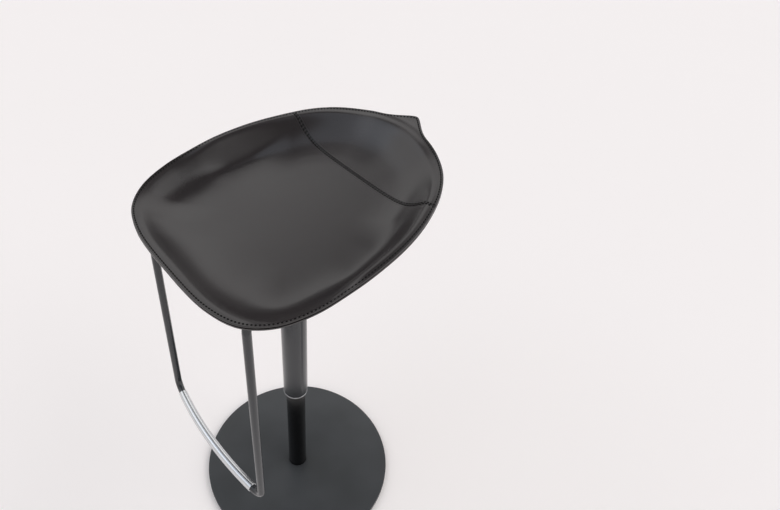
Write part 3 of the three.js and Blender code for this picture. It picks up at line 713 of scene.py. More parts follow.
@dataclass
class OuterTube:
    """Grey tube that hangs from the seat, and the bright ring at its mouth."""

    radius: float = 25.0
    wall: float = 2.5
    mouth: float = 278.0
    ring_height: float = 2.6
    ring_edge: float = 0.8
    guide_bore: float = 20.3
    top: float = 686.7
    screw_height: float = 669.0
    screw_hole: float = 2.8
    drill_spare: float = 7.0

    def build_ring(self) -> None:
        """Makes the mouth ring."""
        top = self.mouth + self.ring_height
        profile = [
            (self.guide_bore, self.mouth, 0),
            (self.radius, self.mouth, self.ring_edge),
            (self.radius, top, 0.25),
            (self.guide_bore, top, 0),
        ]
        place_piece(turned("mouth_trim_ring", profile, 128), Body.SEAT, BRUSHED, ["mouth_ring"])

    def build_tube(self) -> None:
        """Makes the tube with the two holes of its set screws."""
        inner = self.radius - self.wall
        low = self.mouth + self.ring_height + FIT_GAP
        profile = [
            (inner, low, 0),
            (self.radius, low, 0.4),
            (self.radius, self.top, 0.4),
            (inner, self.top, 0),
        ]
        piece = turned("outer_tube", profile, 128)
        cutter = Draft()
        reach = self.radius + self.drill_spare
        ends = [Station(np.array([x, 0.0, self.screw_height]), np.array([1.0, 0, 0])) for x in (-reach, reach)]
        cutter.loft(swept(ends, circle(self.screw_hole, 32)))
        carve(piece, [cutter.build("hole_cutter")])
        place_piece(piece, Body.SEAT, GREY_SATIN, ["upper_tube"])

    def build(self) -> None:
        """Makes and dresses the tube and its ring."""
        self.build_ring()
        self.build_tube()


def carve(piece: bpy.types.Object, cutters: Sequence[bpy.types.Object]) -> None:
    """Cuts bodies out of a piece and removes them."""
    for cutter in cutters:
        change = piece.modifiers.new("carve", "BOOLEAN")
        change.operation = "DIFFERENCE"
        change.object = cutter
        change.solver = "EXACT"
    bpy.context.view_layer.update()
    graph = bpy.context.evaluated_depsgraph_get()
    cut = bpy.data.meshes.new_from_object(piece.evaluated_get(graph))
    piece.modifiers.clear()
    old = piece.data
    piece.data = cut
    bpy.data.meshes.remove(old)
    for cutter in cutters:
        bpy.data.objects.remove(cutter)


@dataclass
class FootrestSizes:
    """Sizes of the bent footrest rod and its sleeve."""

    bar_height: float = 281.0
    apex: float = -203.2
    arc_radius: float = 880.0
    half_width: float = 157.5
    radius: float = 7.0
    bottom_bend: float = 19.0
    splay: float = 8.5
    lean: float = 8.2
    top_height: float = 725.4
    top_bend: float = 10.0
    shoulder: tuple[float, float] = (84.0, -113.0)
    shoulder_bend: float = 30.0
    leg_side: float = 38.0
    leg_ends: tuple[float, float] = (60.0, -66.0)
    leg_bend: float = 34.0
    leg_height: float = 679.7
    sleeve_half: float = 132.0
    sleeve_radius: float = 8.5
    sleeve_wall: float = 1.2
    sleeve_lip: float = 0.35
    sleeve_stops: int = 49


@dataclass
class Footrest:
    """One bent rod with a bowed cross bar, and the sleeve for the feet."""

    size: FootrestSizes = field(default_factory=FootrestSizes)

    def arc_station(self, side: float) -> Station:
        """Gives a stop on the cross bar's bow.

        Args:
            side: How far it lies beside the middle plane.

        Returns:
            The stop, run through towards -X.
        """
        s = self.size
        back = math.sqrt(s.arc_radius**2 - side**2)
        point = np.array([side, s.apex + s.arc_radius - back, s.bar_height])
        return Station(point, unit(np.array([-back, -side, 0.0])))

    def rod_stations(self) -> list[Station]:
        """Gives the stops of the whole rod, from one leg's end to the other's."""
        s = self.size
        arc_end = self.arc_station(s.half_width - s.bottom_bend)
        rise = np.array([-s.splay, s.lean, s.top_height - s.bar_height])
        turn = math.acos(float(unit(rise) @ -arc_end.along))
        bottom = arc_end.point - arc_end.along * s.bottom_bend * math.tan(turn / 2)
        corners = [
            np.array([s.leg_side, s.leg_ends[0], s.leg_height]),
            np.array([s.leg_side, s.leg_ends[1], s.leg_height]),
            np.array([*s.shoulder, s.leg_height]),
            bottom + rise,
            bottom,
            arc_end.point,
        ]
        half = bent_stations(corners, [s.leg_bend, s.shoulder_bend, s.top_bend, s.bottom_bend])
        sides = np.linspace(arc_end.point[0], -arc_end.point[0], 50)[1:-1]
        return [*half, *(self.arc_station(x) for x in sides), *(h.mirrored() for h in reversed(half))]

    def build_rod(self) -> None:
        """Makes the bent rod."""
        draft = Draft()
        round_bar(draft, self.rod_stations(), self.size.radius, 32)
        place_piece(draft.build("footrest_rod"), Body.SEAT, GREY_SATIN, ["footrest_frame"])

    def build_sleeve(self) -> None:
        """Makes the brushed sleeve, a bored tube along the bow."""
        s = self.size
        half, short = s.sleeve_half, s.sleeve_half - s.sleeve_lip
        outer = [self.arc_station(x) for x in np.linspace(half, -half, s.sleeve_stops)]
        trimmed = [self.arc_station(x) for x in np.linspace(short, -short, s.sleeve_stops - 2)]
        shape, rim, hole = (circle(s.sleeve_radius - less, 48) for less in (0, s.sleeve_lip, s.sleeve_wall))
        rims, holes = (swept([outer[0], *trimmed, outer[-1]], part) for part in (rim, hole))
        loops = [holes[0], rims[0], *swept(trimmed, shape), rims[-1], holes[-1]]
        draft = Draft()
        draft.loft([*loops, *reversed(swept(outer, hole)[1:-1])], capped=False, ring=True)
        aside, above = np.tile(circle(1.0, len(shape)), (draft.count // len(shape), 1)).T
        draft.marks = {"aside": [aside], "above": [above]}
        place_piece(draft.build("foot_sleeve"), Body.SEAT, BRUSHED, ["footrest_sleeve"])

    def build(self) -> None:
        """Makes and dresses the footrest."""
        self.build_rod()
        self.build_sleeve()


class RimTable:
    """The pan's rim as radius and height by angle about the pan's pole."""

    def __init__(self, sizes: "PanSizes") -> None:
        """Works the table out from the rim's shares."""
        self.sizes = sizes
        length = sizes.back + sizes.front
        right = np.array(
            [
                (side * sizes.half_width, way * length - sizes.front, sizes.front_rim + rise * sizes.rim_rise)
                for side, way, rise in sizes.rim_shares
            ]
        )
        left = right[1:-1][::-1] * [-1, 1, 1]
        curve = self.spline(np.concatenate([right, left]), 96)
        turn = np.arctan2(curve[:, 0], curve[:, 1] - sizes.pole)
        order = np.argsort(turn)
        self.turn, self.curve = turn[order], curve[order]

    @staticmethod
    def spline(points: np.ndarray, steps: int) -> np.ndarray:
        """Runs a closed centripetal spline through points.

        Args:
            points: Rows of x, y and z.
            steps: Points on each stretch.

        Returns:
            The finer curve.
        """
        out = []
        share = (np.arange(steps) / steps)[:, None]
        for i in range(len(points)):
            p0, p1, p2, p3 = (points[(i + k) % len(points)] for k in (-1, 0, 1, 2))
            d0, d1, d2 = (np.linalg.norm(a - b) ** 0.5 for a, b in ((p0, p1), (p1, p2), (p2, p3)))
            t1 = ((p1 - p0) / d0 - (p2 - p0) / (d0 + d1) + (p2 - p1) / d1) * d1
            t2 = ((p2 - p1) / d1 - (p3 - p1) / (d1 + d2) + (p3 - p2) / d2) * d1
            c2, c3 = -3 * p1 + 3 * p2 - 2 * t1 - t2, 2 * p1 - 2 * p2 + t1 + t2
            out.append(p1 + t1 * share + c2 * share**2 + c3 * share**3)
        return np.concatenate(out)

    def at(self, turn: np.ndarray) -> tuple[np.ndarray, np.ndarray, np.ndarray]:
        """Gives the rim at angles from +Y towards +X.

        Args:
            turn: The angles in radians.

        Returns:
            Radius about the pole, height, and the beak's share.
        """
        wrapped = (np.asarray(turn) + math.pi) % (2 * math.pi) - math.pi
        known = np.r_[self.turn[-1] - 2 * math.pi, self.turn, self.turn[0] + 2 * math.pi]
        x, y, z = (np.interp(wrapped, known, np.r_[c[-1], c, c[0]]) for c in self.curve.T)
        s = self.sizes
        away = np.hypot(x, s.beak_tip) - s.beak_tip
        beak = np.where(y > 0, np.maximum(1 - away / s.beak_half, 0) ** 2, 0)
        return np.hypot(x, y - s.pole), z, beak


@dataclass
class PanSizes:
    """Sizes of the saddle pan.

    strip_falls says how far the hide drops across the sewn strip, by degrees from the beak. Each row
    of wall_shares holds a distance inside the rim and the wall's height there, as a share of the
    rim's height above the pan's floor, at the back, the flank, the near side and the front;
    wall_turns says between which degrees from the beak each of the four goes over into the next.
    rim_shares draws the rim's right half from beak to front, in shares of half width, length and rise.
    """

    half_width: float = 221.2
    front: float = 222.9
    back: float = 248.4
    front_rim: float = 745.0
    rim_rise: float = 78.5
    pole: float = 10.0
    beak_reach: float = 23.2
    beak_half: float = 52.0
    beak_tip: float = 8.0
    beak_lift: float = 4.0
    beak_start: float = 8.0
    floor_level: float = 741.0
    floor_reach: float = 250.0
    floor_rise: float = 39.0
    floor_bow: float = 15.0
    hide: float = 2.7
    core: float = 3.0
    core_edge: float = 1.5
    core_inset: float = 4.0
    core_blend: float = 22.0
    back_middle: float = 188.0
    seam_back: float = 133.0
    seam_flare: float = 8.0
    seam_dip: float = 0.25
    seam_dip_width: float = 2.4
    seam_overrun: float = 0.1
    seam_clear: float = 7.5
    seam_row: float = 1.7
    cut_edge: float = 0.6
    paint_width: float = 0.5
    # Width of the painted shade along each stitch row and along the cross seam.
    stitch_shade_width: float = 0.9
    stitch_inset: float = 4.0
    stitch_pitch: float = 5.8
    stitch_fill: float = 0.54
    stitch_radius: float = 1.15
    stitch_taper: float = 0.72
    stitch_slant: float = 0.35
    stitch_rise: float = 0.2
    stitch_dive: float = 1.1
    hide_spacing: float = 2.4
    back_spacing: float = 2.0
    core_spacing: float = 3.2
    row_spacing: float = 1.0
    boss_radius: float = 11.0
    boss_gap: float = 1.0
    boss_side: float = 44.0
    boss_back: float = 71.0
    boss_foot: float = 708.3
    boss_cut: float = 5.0
    strip: float = 9.5
    strip_falls: tuple[tuple[float, float], ...] = (
        (0, 2.6),
        (30, 2.4),
        (45, 1.2),
        (60, -0.2),
        (85, -1.2),
        (98, -1.2),
        (112, 0.0),
        (180, 0.0),
    )
    bead: float = 0.35
    bead_width: float = 1.6
    wall_turns: tuple[tuple[float, float], ...] = ((56.0, 82.0), (96.0, 120.0), (130.0, 147.0))
    wall_shares: tuple[tuple[float, ...], ...] = (
        (0.0, 1.0, 1.0, 1.0, 1.0),
        (3.0, 1.0, 1.0, 0.97, 1.0),
        (6.0, 1.0, 1.0, 0.935, 1.0),
        (9.0, 1.0, 1.0, 0.895, 1.0),
        (12.0, 0.997, 0.985, 0.855, 0.99),
        (16.0, 0.965, 0.925, 0.79, 0.955),
        (20.0, 0.89, 0.82, 0.72, 0.895),
        (25.0, 0.775, 0.67, 0.625, 0.81),
        (31.0, 0.63, 0.48, 0.51, 0.7),
        (38.0, 0.475, 0.25, 0.38, 0.585),
        (46.0, 0.33, 0.095, 0.255, 0.47),
        (55.0, 0.21, 0.027, 0.15, 0.365),
        (65.0, 0.125, 0.008, 0.08, 0.27),
        (78.0, 0.065, 0.002, 0.035, 0.18),
        (94.0, 0.025, 0.0, 0.012, 0.105),
        (115.0, 0.005, 0.0, 0.003, 0.045),
        (145.0, 0.0, 0.0, 0.0, 0.0),
    )
    rim_shares: tuple[tuple[float, float, float], ...] = (
        (0, 1, 1.01),
        (0.248, 0.982, 0.986),
        (0.437, 0.95, 0.916),
        (0.617, 0.893, 0.856),
        (0.754, 0.818, 0.787),
        (0.88, 0.701, 0.678),
        (0.955, 0.587, 0.593),
        (0.994, 0.46, 0.493),
        (0.998, 0.352, 0.383),
        (0.976, 0.235, 0.259),
        (0.896, 0.129, 0.144),
        (0.739, 0.052, 0.06),
        (0.483, 0.011, 0.018),
        (0, 0, 0),
    )


SHOWN_INSETS = (
    *(0, 0.25, 0.6, 1.1, 1.8, 2.6, 3.4, 4.2, 5.2, 6.4, 7.8, 9.2, 10.6, 12, 13.4, 15, 16.8, 18.6, 20.6, 22.8),
    *(25, 27.5, 30, 32.5, 35, 37.5, 40, 42.5, 45, 47.5, 50, 53, 56, 60, 64),
)
HIDDEN_INSETS = (0, 3, 8, 14, 20, 26, 33, 40, 48, 56, 64)
SHOWN_INNER, HIDDEN_INNER = 22, 8
RING_REACH, RING_POWER = 0.9, 0.9


def eased(value: np.ndarray, start: float, end: float) -> np.ndarray:
    """Goes smoothly from 0 at a start to 1 at an end."""
    share = np.clip((value - start) / (end - start), 0, 1)
    return share**2 * (3 - 2 * share)


def monotone(table: Sequence[tuple[float, float]], at: np.ndarray) -> np.ndarray:
    """Runs a smooth curve through a table without overshooting it.

    Args:
        table: Places and values, in order.
        at: Where the curve is wanted.

    Returns:
        The values there.
    """
    x, y = (np.array(c, float) for c in zip(*table))
    step, slope = np.diff(x), np.diff(y) / np.diff(x)
    inner = np.where(slope[:-1] * slope[1:] > 0, 2 * slope[:-1] * slope[1:] / (slope[:-1] + slope[1:] + 1e-12), 0)
    tangent = np.r_[slope[0], inner, slope[-1]]
    at = np.clip(at, x[0], x[-1])
    i = np.clip(np.searchsorted(x, at) - 1, 0, len(step) - 1)
    t = (at - x[i]) / step[i]
    h = ((1 + 2 * t) * (1 - t) ** 2, t * (1 - t) ** 2, t**2 * (3 - 2 * t), t**2 * (t - 1))
    return h[0] * y[i] + h[1] * step[i] * tangent[i] + h[2] * y[i + 1] + h[3] * step[i] * tangent[i + 1]


def run_length(line: np.ndarray) -> np.ndarray:
    """Gives how far along a line each of its points lies."""
    return np.r_[0, np.cumsum(np.linalg.norm(np.diff(line, axis=0), axis=1))]


def at_lengths(line: np.ndarray, places: np.ndarray) -> np.ndarray:
    """Gives the points of a line at lengths along it."""
    run = run_length(line)
    return np.stack([np.interp(places, run, c) for c in line.T], axis=1)


def spaced(line: np.ndarray, spacing: float) -> np.ndarray:
    """Spreads points evenly along a line, with both ends kept."""
    length = run_length(line)[-1]
    return at_lengths(line, np.linspace(0, length, max(8, round(length / spacing)) + 1))


def inward_ways(outline: np.ndarray) -> np.ndarray:
    """Gives the inward directions square to an outline that runs anticlockwise."""
    along = np.roll(outline, -1, axis=0) - np.roll(outline, 1, axis=0)
    along = along / np.linalg.norm(along, axis=1)[:, None]
    return np.stack([-along[:, 1], along[:, 0]], axis=1)


class SaddlePan:
    """Sewn saddle: two upper hides, a moulded core, a lower hide and their stitches."""

    def __init__(self, sizes: PanSizes) -> None:
        """Works out the rim and where the cross seam meets it."""
        self.size = sizes
        self.rim = RimTable(sizes)
        turns = np.linspace(0.2, math.pi / 2, 4000)
        edge = self.edge_points(turns)
        past = edge[:, 1] - self.seam_at(edge[:, 0])
        self.seam_turn = float(turns[np.argmax(past < 0)])

    def edge_points(self, turn: np.ndarray) -> np.ndarray:
        """Gives the cut edge's places in plan, with the beak."""
        radius, _, beak = self.rim.at(turn)
        reach = radius + beak * self.size.beak_reach
        return np.stack([reach * np.sin(turn), self.size.pole + reach * np.cos(turn)], axis=1)

    def seam_at(self, side: np.ndarray) -> np.ndarray:
        """Gives the cross seam's place along Y for places along X."""
        s = self.size
        return s.seam_back + s.seam_flare * np.abs(side / (s.half_width + 2)) ** 6

    def level(self, back: np.ndarray) -> np.ndarray:
        """Gives the saddle floor's height for places along Y."""
        s = self.size
        share = back / s.floor_reach
        return s.floor_level + s.floor_rise * share + s.floor_bow * share**2

    def inside_rim(self, plan: np.ndarray) -> tuple[np.ndarray, np.ndarray, np.ndarray, np.ndarray]:
        """Compares places with the rim.

        Args:
            plan: Rows of x and y.

        Returns:
            How far they lie inside it, their degrees from the beak, the rim's height and the beak's share.
        """
        side, back = plan[:, 0], plan[:, 1] - self.size.pole
        turn = np.arctan2(side, back)
        radius, top, beak = self.rim.at(turn)
        return radius - np.hypot(side, back), np.abs(np.degrees(turn)), top, beak

    def height(self, plan: np.ndarray) -> np.ndarray:
        """Gives the height of the pan's upper face.

        Args:
            plan: Rows of x and y.

        Returns:
            The heights.
        """
        s = self.size
        inset, degrees, top, beak = self.inside_rim(plan)
        level = self.level(plan[:, 1])
        inside = np.maximum(inset, 0)
        share, *others = (monotone([(row[0], row[k]) for row in s.wall_shares], inside) for k in range(1, 5))
        for other, turns in zip(others, s.wall_turns):
            share = share + (other - share) * eased(degrees, *turns)
        fall = monotone(s.strip_falls, degrees)
        edge = fall * np.clip(1 - inside / s.strip, 0, 1)
        bead = s.bead * np.exp(-(((inside - s.strip) / s.bead_width) ** 2)) * (1 - eased(degrees, *s.wall_turns[0]))
        out = np.clip((s.beak_start - inset) / (s.beak_start + beak * s.beak_reach), 0, 1)
        return level + (top - fall - level) * share + edge + bead + beak * s.beak_lift * out**2

    def outline(self, start: float, end: float, seam_gap: float, spacing: float) -> np.ndarray:
        """Gives the closed outline of an upper hide, along the rim and back along the cross seam.

        Args:
            start: The rim's first angle.
            end: The rim's last angle.
            seam_gap: How far the hide stays from the seam line; below 0 it lies in front of it.
            spacing: The distance between points.

        Returns:
            Rows of x and y, anticlockwise.
        """
        fine = self.edge_points(np.linspace(start, end, 6000))
        off = fine[:, 1] - self.seam_at(fine[:, 0]) - seam_gap
        rim = spaced(fine[off * np.sign(seam_gap) >= 0], spacing)
        sides = np.linspace(rim[-1, 0], rim[0, 0], 3000)
        seam = np.stack([sides, self.seam_at(sides) + seam_gap], axis=1)
        return np.concatenate([rim[:-1], spaced(seam, spacing)[:-1]])[::-1]

    def inner_line(self, inset: float, spacing: float) -> np.ndarray:
        """Gives the line that runs around inside the whole cut edge, anticlockwise in plan."""
        line = spaced(self.edge_points(np.linspace(0, 2 * math.pi, 6000)), spacing)[:0:-1]
        return line + inward_ways(line) * inset

    @staticmethod
    def rings(outline: np.ndarray, centre: np.ndarray, insets: Sequence[float], inner: int) -> list[np.ndarray]:
        """Draws an outline in towards a centre.

        Args:
            outline: Rows of x and y.
            centre: The point that all rings run to.
            insets: Distances of the outer rings.
            inner: How many rings follow before the centre.

        Returns:
            The rings in plan.
        """
        ray = centre - outline
        length = np.linalg.norm(ray, axis=1)
        scale = np.minimum(1, RING_REACH * length / insets[-1])
        rest = length - insets[-1] * scale
        shares = (np.arange(1, inner + 1) / (inner + 1)) ** RING_POWER
        runs = [*(inset * scale for inset in insets), *(insets[-1] * scale + rest * share for share in shares)]
        return [outline + ray * (run / length)[:, None] for run in runs]

    def sheet(
        self, name: str, outline: np.ndarray, centre: tuple[float, float], top: Face, bottom: Face, fine_top: bool
    ) -> bpy.types.Object:
        """Makes a closed sheet over an outline.

        Args:
            name: The object's name.
            outline: Rows of x and y, anticlockwise.
            centre: The point that its rings run to.
            top: Gives the upper face's height for places in plan.
            bottom: Gives the lower face's height.
            fine_top: The upper face shows and is made fine, or else the lower one.

        Returns:
            The sheet.
        """
        s = self.size
        middle = np.array(centre, float)
        square = inward_ways(outline)
        rims = []
        draft = Draft()
        for face, upper in ((top, True), (bottom, False)):
            fine = upper == fine_top
            insets, inner = (SHOWN_INSETS, SHOWN_INNER) if fine else (HIDDEN_INSETS, HIDDEN_INNER)
            numbers = []
            for points in self.rings(outline, middle, insets, inner):
                heights, marks = face(points), {}
                if fine:
                    inward = np.abs(np.einsum("ij,ij->i", points - outline, square))
                    drop = self.roll(inward, s.cut_edge)
                    heights = heights + (-drop if upper else drop)
                    paint = np.clip(1 - inward / s.paint_width, 0, 1)
                    # The stitch shade mark is painted shade along the stitch rows and the cross seam.
                    marks = {"edge": paint, "pressed": self.pressed(points, inward)}
                numbers.append(draft.loop(np.column_stack([points, heights]), **marks))
            pole = draft.loop(np.array([[*middle, float(face(middle[None])[0])]]))
            for first, second in zip(numbers, numbers[1:]):
                draft.strip(*((first, second) if upper else (second, first)))
            draft.fan(numbers[-1] if upper else numbers[-1][::-1], int(pole[0]))
            rims.append(numbers[0])
        draft.strip(rims[1], rims[0])
        return draft.build(name, 50)

    @staticmethod
    def roll(inward: np.ndarray, radius: float) -> np.ndarray:
        """Gives how far a rounded edge falls at distances inside it."""
        short = np.clip(radius - inward, 0, radius)
        return radius - np.sqrt(np.maximum(radius**2 - short**2, 0))

    def pressed(self, plan: np.ndarray, inward: np.ndarray) -> np.ndarray:
        """Gives the painted shade along the row of stitches near the edge and along the cross seam."""
        s = self.size
        row = np.exp(-(((inward - s.stitch_inset) / s.stitch_shade_width) ** 2))
        seam = np.exp(-(((plan[:, 1] - self.seam_at(plan[:, 0])) / s.stitch_shade_width) ** 2))
        return np.clip(row * 0.8 + seam * 0.7, 0, 1)

    def upper_face(self, plan: np.ndarray) -> np.ndarray:
        """Gives the upper hide's height, with its valley at the cross seam."""
        s = self.size
        off = plan[:, 1] - self.seam_at(plan[:, 0])
        return self.height(plan) - s.seam_dip * np.exp(-((off / s.seam_dip_width) ** 2))

    def swell(self, plan: np.ndarray) -> np.ndarray:
        """Gives the core's thickness, thin near the rim."""
        s = self.size
        inset, *_ = self.inside_rim(plan)
        return s.core_edge + (s.core - s.core_edge) * eased(inset, s.core_inset, s.core_inset + s.core_blend)

    def upper_back(self, plan: np.ndarray) -> np.ndarray:
        """Gives the height of the upper hide's rough side."""
        return self.height(plan) - self.size.hide

    def core_face(self, plan: np.ndarray) -> np.ndarray:
        """Gives the height of the core's upper face."""
        return self.upper_back(plan) - FIT_GAP

    def core_back(self, plan: np.ndarray) -> np.ndarray:
        """Gives the height of the core's lower face."""
        return self.core_face(plan) - self.swell(plan)

    def lower_back(self, plan: np.ndarray) -> np.ndarray:
        """Gives the height of the lower hide's rough side."""
        return self.core_back(plan) - FIT_GAP

    def lower_face(self, plan: np.ndarray) -> np.ndarray:
        """Gives the height of the lower hide's smooth side."""
        return self.lower_back(plan) - self.size.hide

    def build_upper(self) -> None:
        """Makes the two upper hides."""
        s = self.size
        low, high = self.seam_turn - s.seam_overrun, self.seam_turn + s.seam_overrun
        hides = (
            ("front", low, 2 * math.pi - low, -FIT_GAP / 2, s.hide_spacing, s.pole),
            ("back", -high, high, FIT_GAP / 2, s.back_spacing, s.back_middle),
        )
        for side, start, end, gap, spacing, middle in hides:
            outline = self.outline(start, end, gap, spacing)
            piece = self.sheet(f"saddle_hide_{side}", outline, (0, middle), self.upper_face, self.upper_back, True)
            place_piece(piece, Body.SEAT, HIDE, [f"seat_panel_{side}"])

    def bosses(self, radius: float, bottom: float, lift: float) -> list[bpy.types.Object]:
        """Makes four upright cylinders at the seat screws.

        Args:
            radius: Their radius.
            bottom: The height of their feet.
            lift: How far they end above the pan's upper face.

        Returns:
            The four objects.
        """
        made = []
        for x in (self.size.boss_side, -self.size.boss_side):
            for y in (self.size.boss_back, -self.size.boss_back):
                top = float(self.height(np.array([[x, y]]))[0]) + lift
                draft = Draft()
                draft.loft([hoop(radius, 40, z) + [x, y, 0] for z in (bottom, top)])
                made.append(draft.build("boss"))
        return made

    def build_core(self) -> None:
        """Makes the moulded core with its four bosses."""
        s = self.size
        outline = self.inner_line(s.core_inset, s.core_spacing)
        piece = self.sheet("moulded_core", outline, (0, s.pole), self.core_face, self.core_back, False)
        join(piece, self.bosses(s.boss_radius, s.boss_foot, -s.hide - FIT_GAP - s.core / 2))
        place_piece(piece, Body.SEAT, SHELL, ["seat_core"])

    def build_lower(self) -> None:
        """Makes the lower hide with its four openings."""
        s = self.size
        outline = self.inner_line(0, s.hide_spacing)
        piece = self.sheet("saddle_hide_lower", outline, (0, s.pole), self.lower_back, self.lower_face, False)
        carve(piece, self.bosses(s.boss_radius + s.boss_gap, s.boss_foot - s.boss_cut, s.boss_cut))
        place_piece(piece, Body.SEAT, HIDE, ["seat_underside"])

    def stitch_row(self, draft: Draft, line: np.ndarray, face: Face, up: int) -> None:
        """Sews a row of stitches along a line.

        Args:
            draft: The mesh that the thread goes into.
            line: The row in plan.
            face: Gives the height of the face that is sewn.
            up: 1 on an upper face, -1 on a lower one.
        """
        s = self.size
        length = run_length(line)[-1]
        count = int(length // s.stitch_pitch)
        share = np.linspace(-1, 1, 7)
        thick = s.stitch_radius * np.sqrt(1 - s.stitch_taper * share**6)
        for i in range(count):
            places = (i + 0.5) * length / count + share / 2 * s.stitch_pitch * s.stitch_fill
            plan = at_lengths(line, places)
            along = unit(plan[-1] - plan[0])
            across = np.array([-along[1], along[0]])
            plan = plan + across * (share / 2 * s.stitch_slant)[:, None]
            heights = face(plan) + up * (s.stitch_rise - s.stitch_dive * share**4)
            ring = (circle(1.0, 8) @ np.array([[*across, 0], [0, 0, up]]))[::up]
            draft.loft([middle + ring * r for middle, r in zip(np.column_stack([plan, heights]), thick)])

    def build_stitches(self) -> None:
        """Sews the rim on both faces and the cross seam with its two rows."""
        s = self.size
        draft = Draft()
        rim = self.inner_line(s.stitch_inset, s.row_spacing)
        rim = np.concatenate([rim, rim[:1]])
        self.stitch_row(draft, rim, self.upper_face, 1)
        self.stitch_row(draft, rim, self.lower_face, -1)
        reach = abs(float(self.edge_points(np.array([self.seam_turn]))[0, 0])) - s.seam_clear
        sides = np.linspace(-reach, reach, 800)
        for offset in (-s.seam_row, s.seam_row):
            line = np.stack([sides, self.seam_at(sides) + offset], axis=1)
            self.stitch_row(draft, line, self.upper_face, 1)
        place_piece(draft.build("saddle_stitches", 60), Body.SEAT, THREAD)

    def build(self) -> None:
        """Makes and dresses the whole saddle."""
        self.build_upper()
        self.build_core()
        self.build_lower()
        self.build_stitches()


def join(piece: bpy.types.Object, others: Sequence[bpy.types.Object]) -> None:
    """Puts other objects' meshes into a piece and removes the objects."""
    chosen = {"selected_objects": [piece, *others], "selected_editable_objects": [piece, *others]}
    with bpy.context.temp_override(active_object=piece, object=piece, **chosen):
        bpy.ops.object.join()


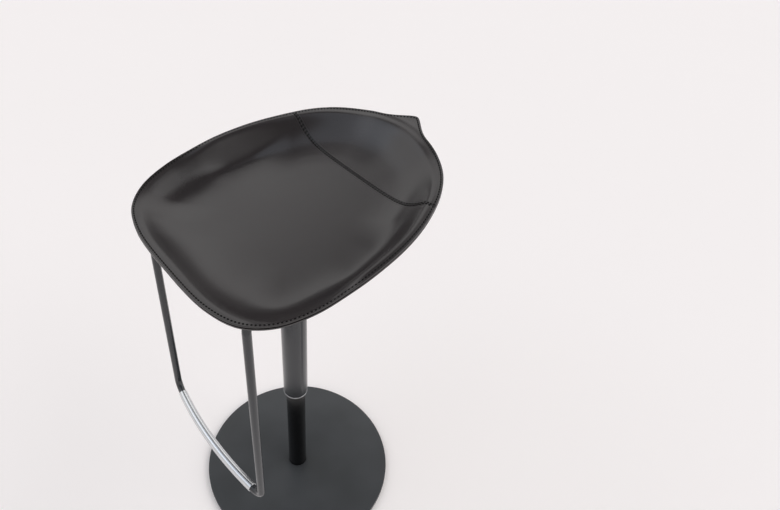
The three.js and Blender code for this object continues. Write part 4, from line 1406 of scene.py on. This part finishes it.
@dataclass
class Studio:
    """Pale floor, soft studio light and the camera."""

    position: tuple[float, float, float] = (664.92, -455.77, 1357.89)
    right: tuple[float, float, float] = (0.6132309, 0.78979713, 0.01297567)
    down: tuple[float, float, float] = (0.52600749, -0.39604864, -0.75263643)
    ahead: tuple[float, float, float] = (-0.58929109, 0.46836521, -0.65830846)
    focal_pixels: float = 624.7
    centre_x: float = 325.0
    image_width: float = 780.0
    floor_radius: float = 60000.0
    floor_lift: float = 0.075
    floor_colour: str = "fdf8f7"
    floor_cloud: str = "faf5f4"
    horizon_light: float = 0.92
    wall_light: float = 1.18
    wall_start: tuple[float, float] = (0.15, 0.5)
    near_share: float = 0.35
    far_way: tuple[float, float, float] = (-0.78, 0.62, 0.0)
    near_edge: tuple[float, float] = (-0.5, 0.35)
    near_start: tuple[float, float] = (0.36, 0.5)
    flag_way: tuple[float, float, float] = (-0.85, 0.53, 0.0)
    flag_edge: tuple[float, float] = (0.78, 0.92)
    flag_foot: tuple[float, float] = (0.1, 0.22)
    flag_head: tuple[float, float] = (0.34, 0.48)
    flag_depth: float = 0.85
    ceiling_light: float = 0.15
    ceiling_start: tuple[float, float] = (0.72, 0.83)
    window_way: tuple[float, float, float] = (-0.25, -0.42, 0.87)
    window_edge: tuple[float, float] = (0.85, 0.95)
    window_light: float = 0.72
    key_way: tuple[float, float, float] = (0.514, 0.647, 0.559)
    key_light: float = 1.0
    key_width: float = 65.0

    def build_camera(self) -> None:
        """Sets the camera at the photographed viewing angle."""
        data = bpy.data.cameras.new("camera")
        data.sensor_width = 36.0
        data.lens = self.focal_pixels * data.sensor_width / self.image_width
        data.shift_x = (self.image_width / 2 - self.centre_x) / self.image_width
        data.clip_start = 0.01
        made = bpy.data.objects.new("camera", data)
        turn = Matrix([self.right, [-c for c in self.down], [-c for c in self.ahead]]).transposed()
        made.matrix_world = Matrix.Translation(Vector(self.position) * MM) @ turn.to_4x4()
        bpy.context.scene.collection.objects.link(made)
        bpy.context.scene.camera = made

    def build_floor(self) -> None:
        """Lays the pale floor."""
        draft = Draft()
        numbers = [draft.loop(hoop(r, 64, 0)) for r in (self.floor_radius, self.floor_radius / 8)]
        draft.strip(*numbers)
        draft.fan(numbers[-1], int(draft.loop(np.zeros((1, 3)))[0]))
        floor = draft.build("floor")
        graph = Graph("pale_floor")
        cloud = graph.noise(900, 1)
        graph.feed(
            Base_Color=graph.colour(cloud * 0.3, self.floor_colour, self.floor_cloud),
            Roughness=0.9,
            Specular_IOR_Level=0.1,
            Emission_Color=graph.laid(graph.shown(), (0, 0, 0, 1), linear(self.floor_colour)),
            Emission_Strength=self.floor_lift,
        )
        floor.data.materials.append(graph.material)

    def build_world(self) -> None:
        """Lights the room.

        A pale band runs along the horizon and the walls above it are brighter, on the far side more
        than on the near one. A soft dark flag hangs at the far left, the ceiling is dark, and one
        cool window lies high in front of the seat.
        """
        world = bpy.data.worlds.new("studio")
        bpy.context.scene.world = world
        world.use_nodes = True
        room = WorldGraph(world.node_tree)
        way = room.node("ShaderNodeTexCoord", {}, {}, "Generated")
        up = room.node("ShaderNodeSeparateXYZ", {}, {0: way}, "Z")
        walls = up.ramp(*self.wall_start) * (self.wall_light - self.horizon_light) + self.horizon_light
        near = (1 - way.towards(self.far_way).ramp(*self.near_edge)) * up.ramp(*self.near_start)
        ceiling = up.ramp(*self.ceiling_start)
        flag = way.towards(self.flag_way).ramp(*self.flag_edge) * up.ramp(*self.flag_foot)
        walls *= (1 - near * (1 - self.near_share)) * (1 - flag * (1 - up.ramp(*self.flag_head)) * self.flag_depth)
        window = way.towards(self.window_way).ramp(*self.window_edge)
        glow = walls * (1 - ceiling) + ceiling * self.ceiling_light + window * self.window_light
        tint = room.laid(window, linear("fffefd"), linear("edf4ff"))
        room.end(room.node("ShaderNodeBackground", {}, {0: tint, 1: glow}))

    def build_lights(self) -> None:
        """Hangs the weak wide key light at the right."""
        data = bpy.data.lights.new("key", "SUN")
        data.energy = self.key_light
        data.angle = math.radians(self.key_width)
        made = bpy.data.objects.new("key", data)
        aim = -Vector(self.key_way)
        made.matrix_world = aim.to_track_quat("-Z", "Y").to_matrix().to_4x4()
        bpy.context.scene.collection.objects.link(made)

    def build(self) -> None:
        """Sets up the whole studio."""
        self.build_camera()
        self.build_floor()
        self.build_world()
        self.build_lights()
        bpy.context.scene.view_settings.view_transform = "Standard"


class WorldGraph(Graph):
    """The nodes of the world."""

    def __init__(self, tree: bpy.types.NodeTree) -> None:
        """Takes the world's node tree and empties it."""
        self.tree = tree
        tree.nodes.clear()

    def end(self, background: Signal) -> None:
        """Links the background to the world's output."""
        output = self.tree.nodes.new("ShaderNodeOutputWorld")
        self.tree.links.new(background.socket, output.inputs[0])


def dress_nodes() -> None:
    """Gives every node of the model that still shows its record's finish and softened edges."""
    slots = {row["node"]: row.get("material_slot") for row in frame["record"]["subparts"]}
    for name, node in frame["nodes"].items():
        if node.hide_render:
            continue
        finish = SLOT_FINISHES[slots[name]]
        node.data.materials.clear()
        node.data.materials.append(finish.material())
        soft = node.modifiers.new("soft_edges", "BEVEL")
        soft.width = EDGE_SOFTNESS * MM
        soft.segments = 2
        soft.limit_method = "ANGLE"
        soft.angle_limit = math.radians(SHARP_TURN)
        soft.harden_normals = True
        LOG.info("%s keeps its own shape in %s", name, finish.name)


def main() -> None:
    """Builds the studio and every sub-assembly in order."""
    logging.basicConfig(level=logging.INFO, format="%(name)s: %(message)s")
    Studio().build()
    Base().build()
    OuterTube().build()
    Footrest().build()
    SaddlePan(PanSizes()).build()
    dress_nodes()


if __name__ == "__main__":
    main()
